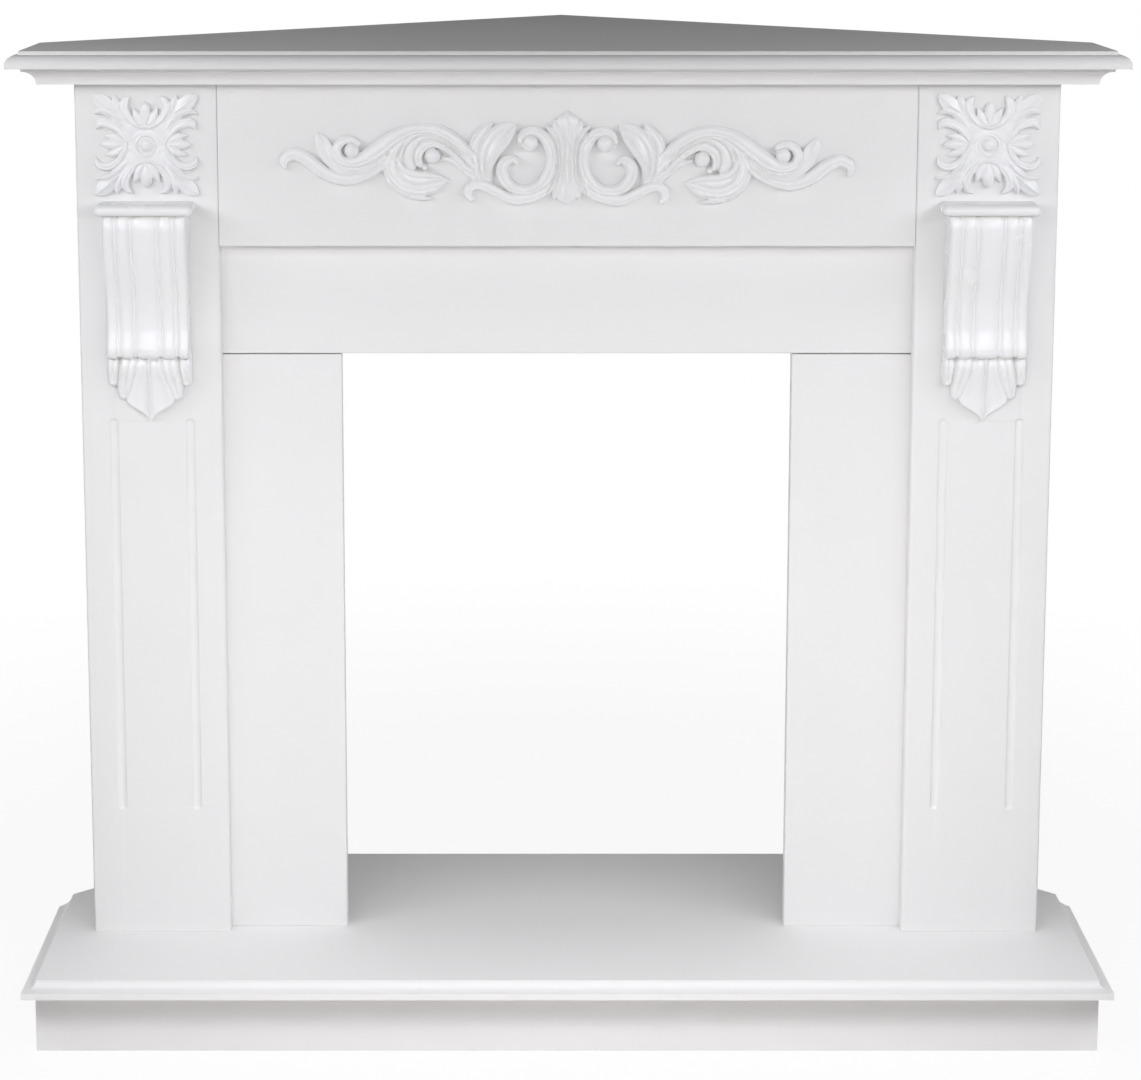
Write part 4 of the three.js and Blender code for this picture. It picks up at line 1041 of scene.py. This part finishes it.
class SURROUND_OT_stage(Operator):
    """Floor, world, lamps and camera"""

    bl_idname = "surround.stage"
    bl_label = "Stage"

    def execute(self, context):
        look = context.scene.surround_stage
        context.scene.view_settings.view_transform = "Standard"
        self.floor(look)
        self.world(look)
        for label, side in SIDES:
            self.lamp(f"lamp_{label}", SIDE_LAMP, look.key, side)
            self.lamp(f"lamp_rear_{label}", REAR_LAMP, look.rear, side)
        self.lamp("lamp_high", HIGH_LAMP, look.high)
        self.lamp("lamp_hearth", HEARTH_LAMP, look.hearth)
        self.lamp("lamp_low", LOW_LAMP, look.low)
        self.camera()
        return {"FINISHED"}

    def seen(self, finish):
        """1 for the eye, and for what reflections and clear things show of the stage."""
        path = finish.node("ShaderNodeLightPath")
        kinds = ("Is Camera Ray", "Is Glossy Ray", "Is Transmission Ray")
        eye, gloss, clear = [Amount(finish, path.outputs[kind]) for kind in kinds]
        return eye + gloss + clear

    def floor(self, look):
        """Matt floor that keeps the object's shadow near it and turns pure white further out."""
        r = FLOOR_REACH
        mesh = bpy.data.meshes.new("floor")
        mesh.from_pydata([(-r, -r, 0), (r, -r, 0), (r, r, 0), (-r, r, 0)], [], [(0, 1, 2, 3)])
        finish = Finish(bpy.data.materials.new("pale_floor"))
        matt = finish.node("ShaderNodeBsdfDiffuse", None, {"Color": (*look.floor, 1.0)})
        white = finish.node("ShaderNodeEmission", None, {"Strength": 1.0})
        place = finish.node("ShaderNodeTexCoord").outputs["Object"]
        away = finish.node("ShaderNodeVectorMath", {"operation": "LENGTH"}, {0: place}).outputs["Value"]
        smooth = {"interpolation_type": "SMOOTHSTEP"}
        far = finish.amount("ShaderNodeMapRange", 0, smooth, {"Value": away, **FADE})
        sockets = {0: self.seen(finish) * far, 1: matt.outputs[0], 2: white.outputs[0]}
        both = finish.node("ShaderNodeMixShader", None, sockets)
        finish.node("ShaderNodeOutputMaterial", None, {"Surface": both.outputs[0]})
        mesh.materials.append(finish.owner)
        put("floor", mesh)

    def world(self, look):
        """White to the eye, but only a weak, even light on the object."""
        world = bpy.data.worlds.new("studio")
        bpy.context.scene.world = world
        finish = Finish(world)
        strength = self.seen(finish) * (1.0 - look.ambient) + look.ambient
        sockets = {"Color": (1.0, 1.0, 1.0, 1.0), "Strength": strength}
        sky = finish.node("ShaderNodeBackground", None, sockets)
        finish.node("ShaderNodeOutputWorld", None, {"Surface": sky.outputs[0]})

    def lamp(self, name, layout, watts, side=1):
        """Rectangular lamp, mirrored for side -1."""
        place, target = (Vector((side * x, y, z)) for x, y, z in layout[:2])
        data = bpy.data.lights.new(name, "AREA")
        data.shape = "RECTANGLE"
        data.size, data.size_y = layout[2]
        data.energy = watts
        data.color = bpy.context.scene.surround_stage.light
        lamp = put(name, data)
        lamp.location = place
        lamp.rotation_euler = (target - place).to_track_quat("-Z", "Y").to_euler()
        lamp.visible_camera = False

    def camera(self):
        """Camera of the photograph's view."""
        data = bpy.data.cameras.new("camera")
        for key, value in CAMERA.items():
            setattr(data, key, value)
        camera = put("camera", data)
        camera.location = CAMERA_PLACE
        camera.rotation_euler = (math.radians(90 - CAMERA_PITCH), 0.0, 0.0)
        bpy.context.scene.camera = camera


BUILD_ORDER = (
    SURROUND_OT_moulded_boards,
    SURROUND_OT_pilasters,
    SURROUND_OT_flat_boards,
    SURROUND_OT_frieze_scroll,
    SURROUND_OT_rosettes,
    SURROUND_OT_corbels,
    SURROUND_OT_hidden_boards,
    SURROUND_OT_brackets,
    SURROUND_OT_stage,
)
SETTINGS = {
    "surround_carving": SurroundCarving,
    "surround_boards": SurroundBoards,
    "surround_finish": SurroundFinish,
    "surround_stage": SurroundStage,
}


class SURROUND_PT_panel(Panel):
    """Panel that lists the operators and their settings"""

    bl_label = "Corner surround"
    bl_space_type = "VIEW_3D"
    bl_region_type = "UI"
    bl_category = "Surround"

    def draw(self, context):
        for group in SETTINGS:
            box = self.layout.box()
            for name in getattr(context.scene, group).__annotations__:
                box.prop(getattr(context.scene, group), name)
        for operator in BUILD_ORDER:
            self.layout.operator(operator.bl_idname)


CLASSES = (*SETTINGS.values(), *BUILD_ORDER, SURROUND_PT_panel)


def register():
    for cls in CLASSES:
        bpy.utils.register_class(cls)
    for name, group in SETTINGS.items():
        setattr(Scene, name, PointerProperty(type=group))


def unregister():
    for name in SETTINGS:
        delattr(Scene, name)
    for cls in reversed(CLASSES):
        bpy.utils.unregister_class(cls)


def main():
    """Runs every operator in order."""
    register()
    for operator in BUILD_ORDER:
        group, action = operator.bl_idname.split(".")
        getattr(getattr(bpy.ops, group), action)()


if __name__ == "__main__":
    main()
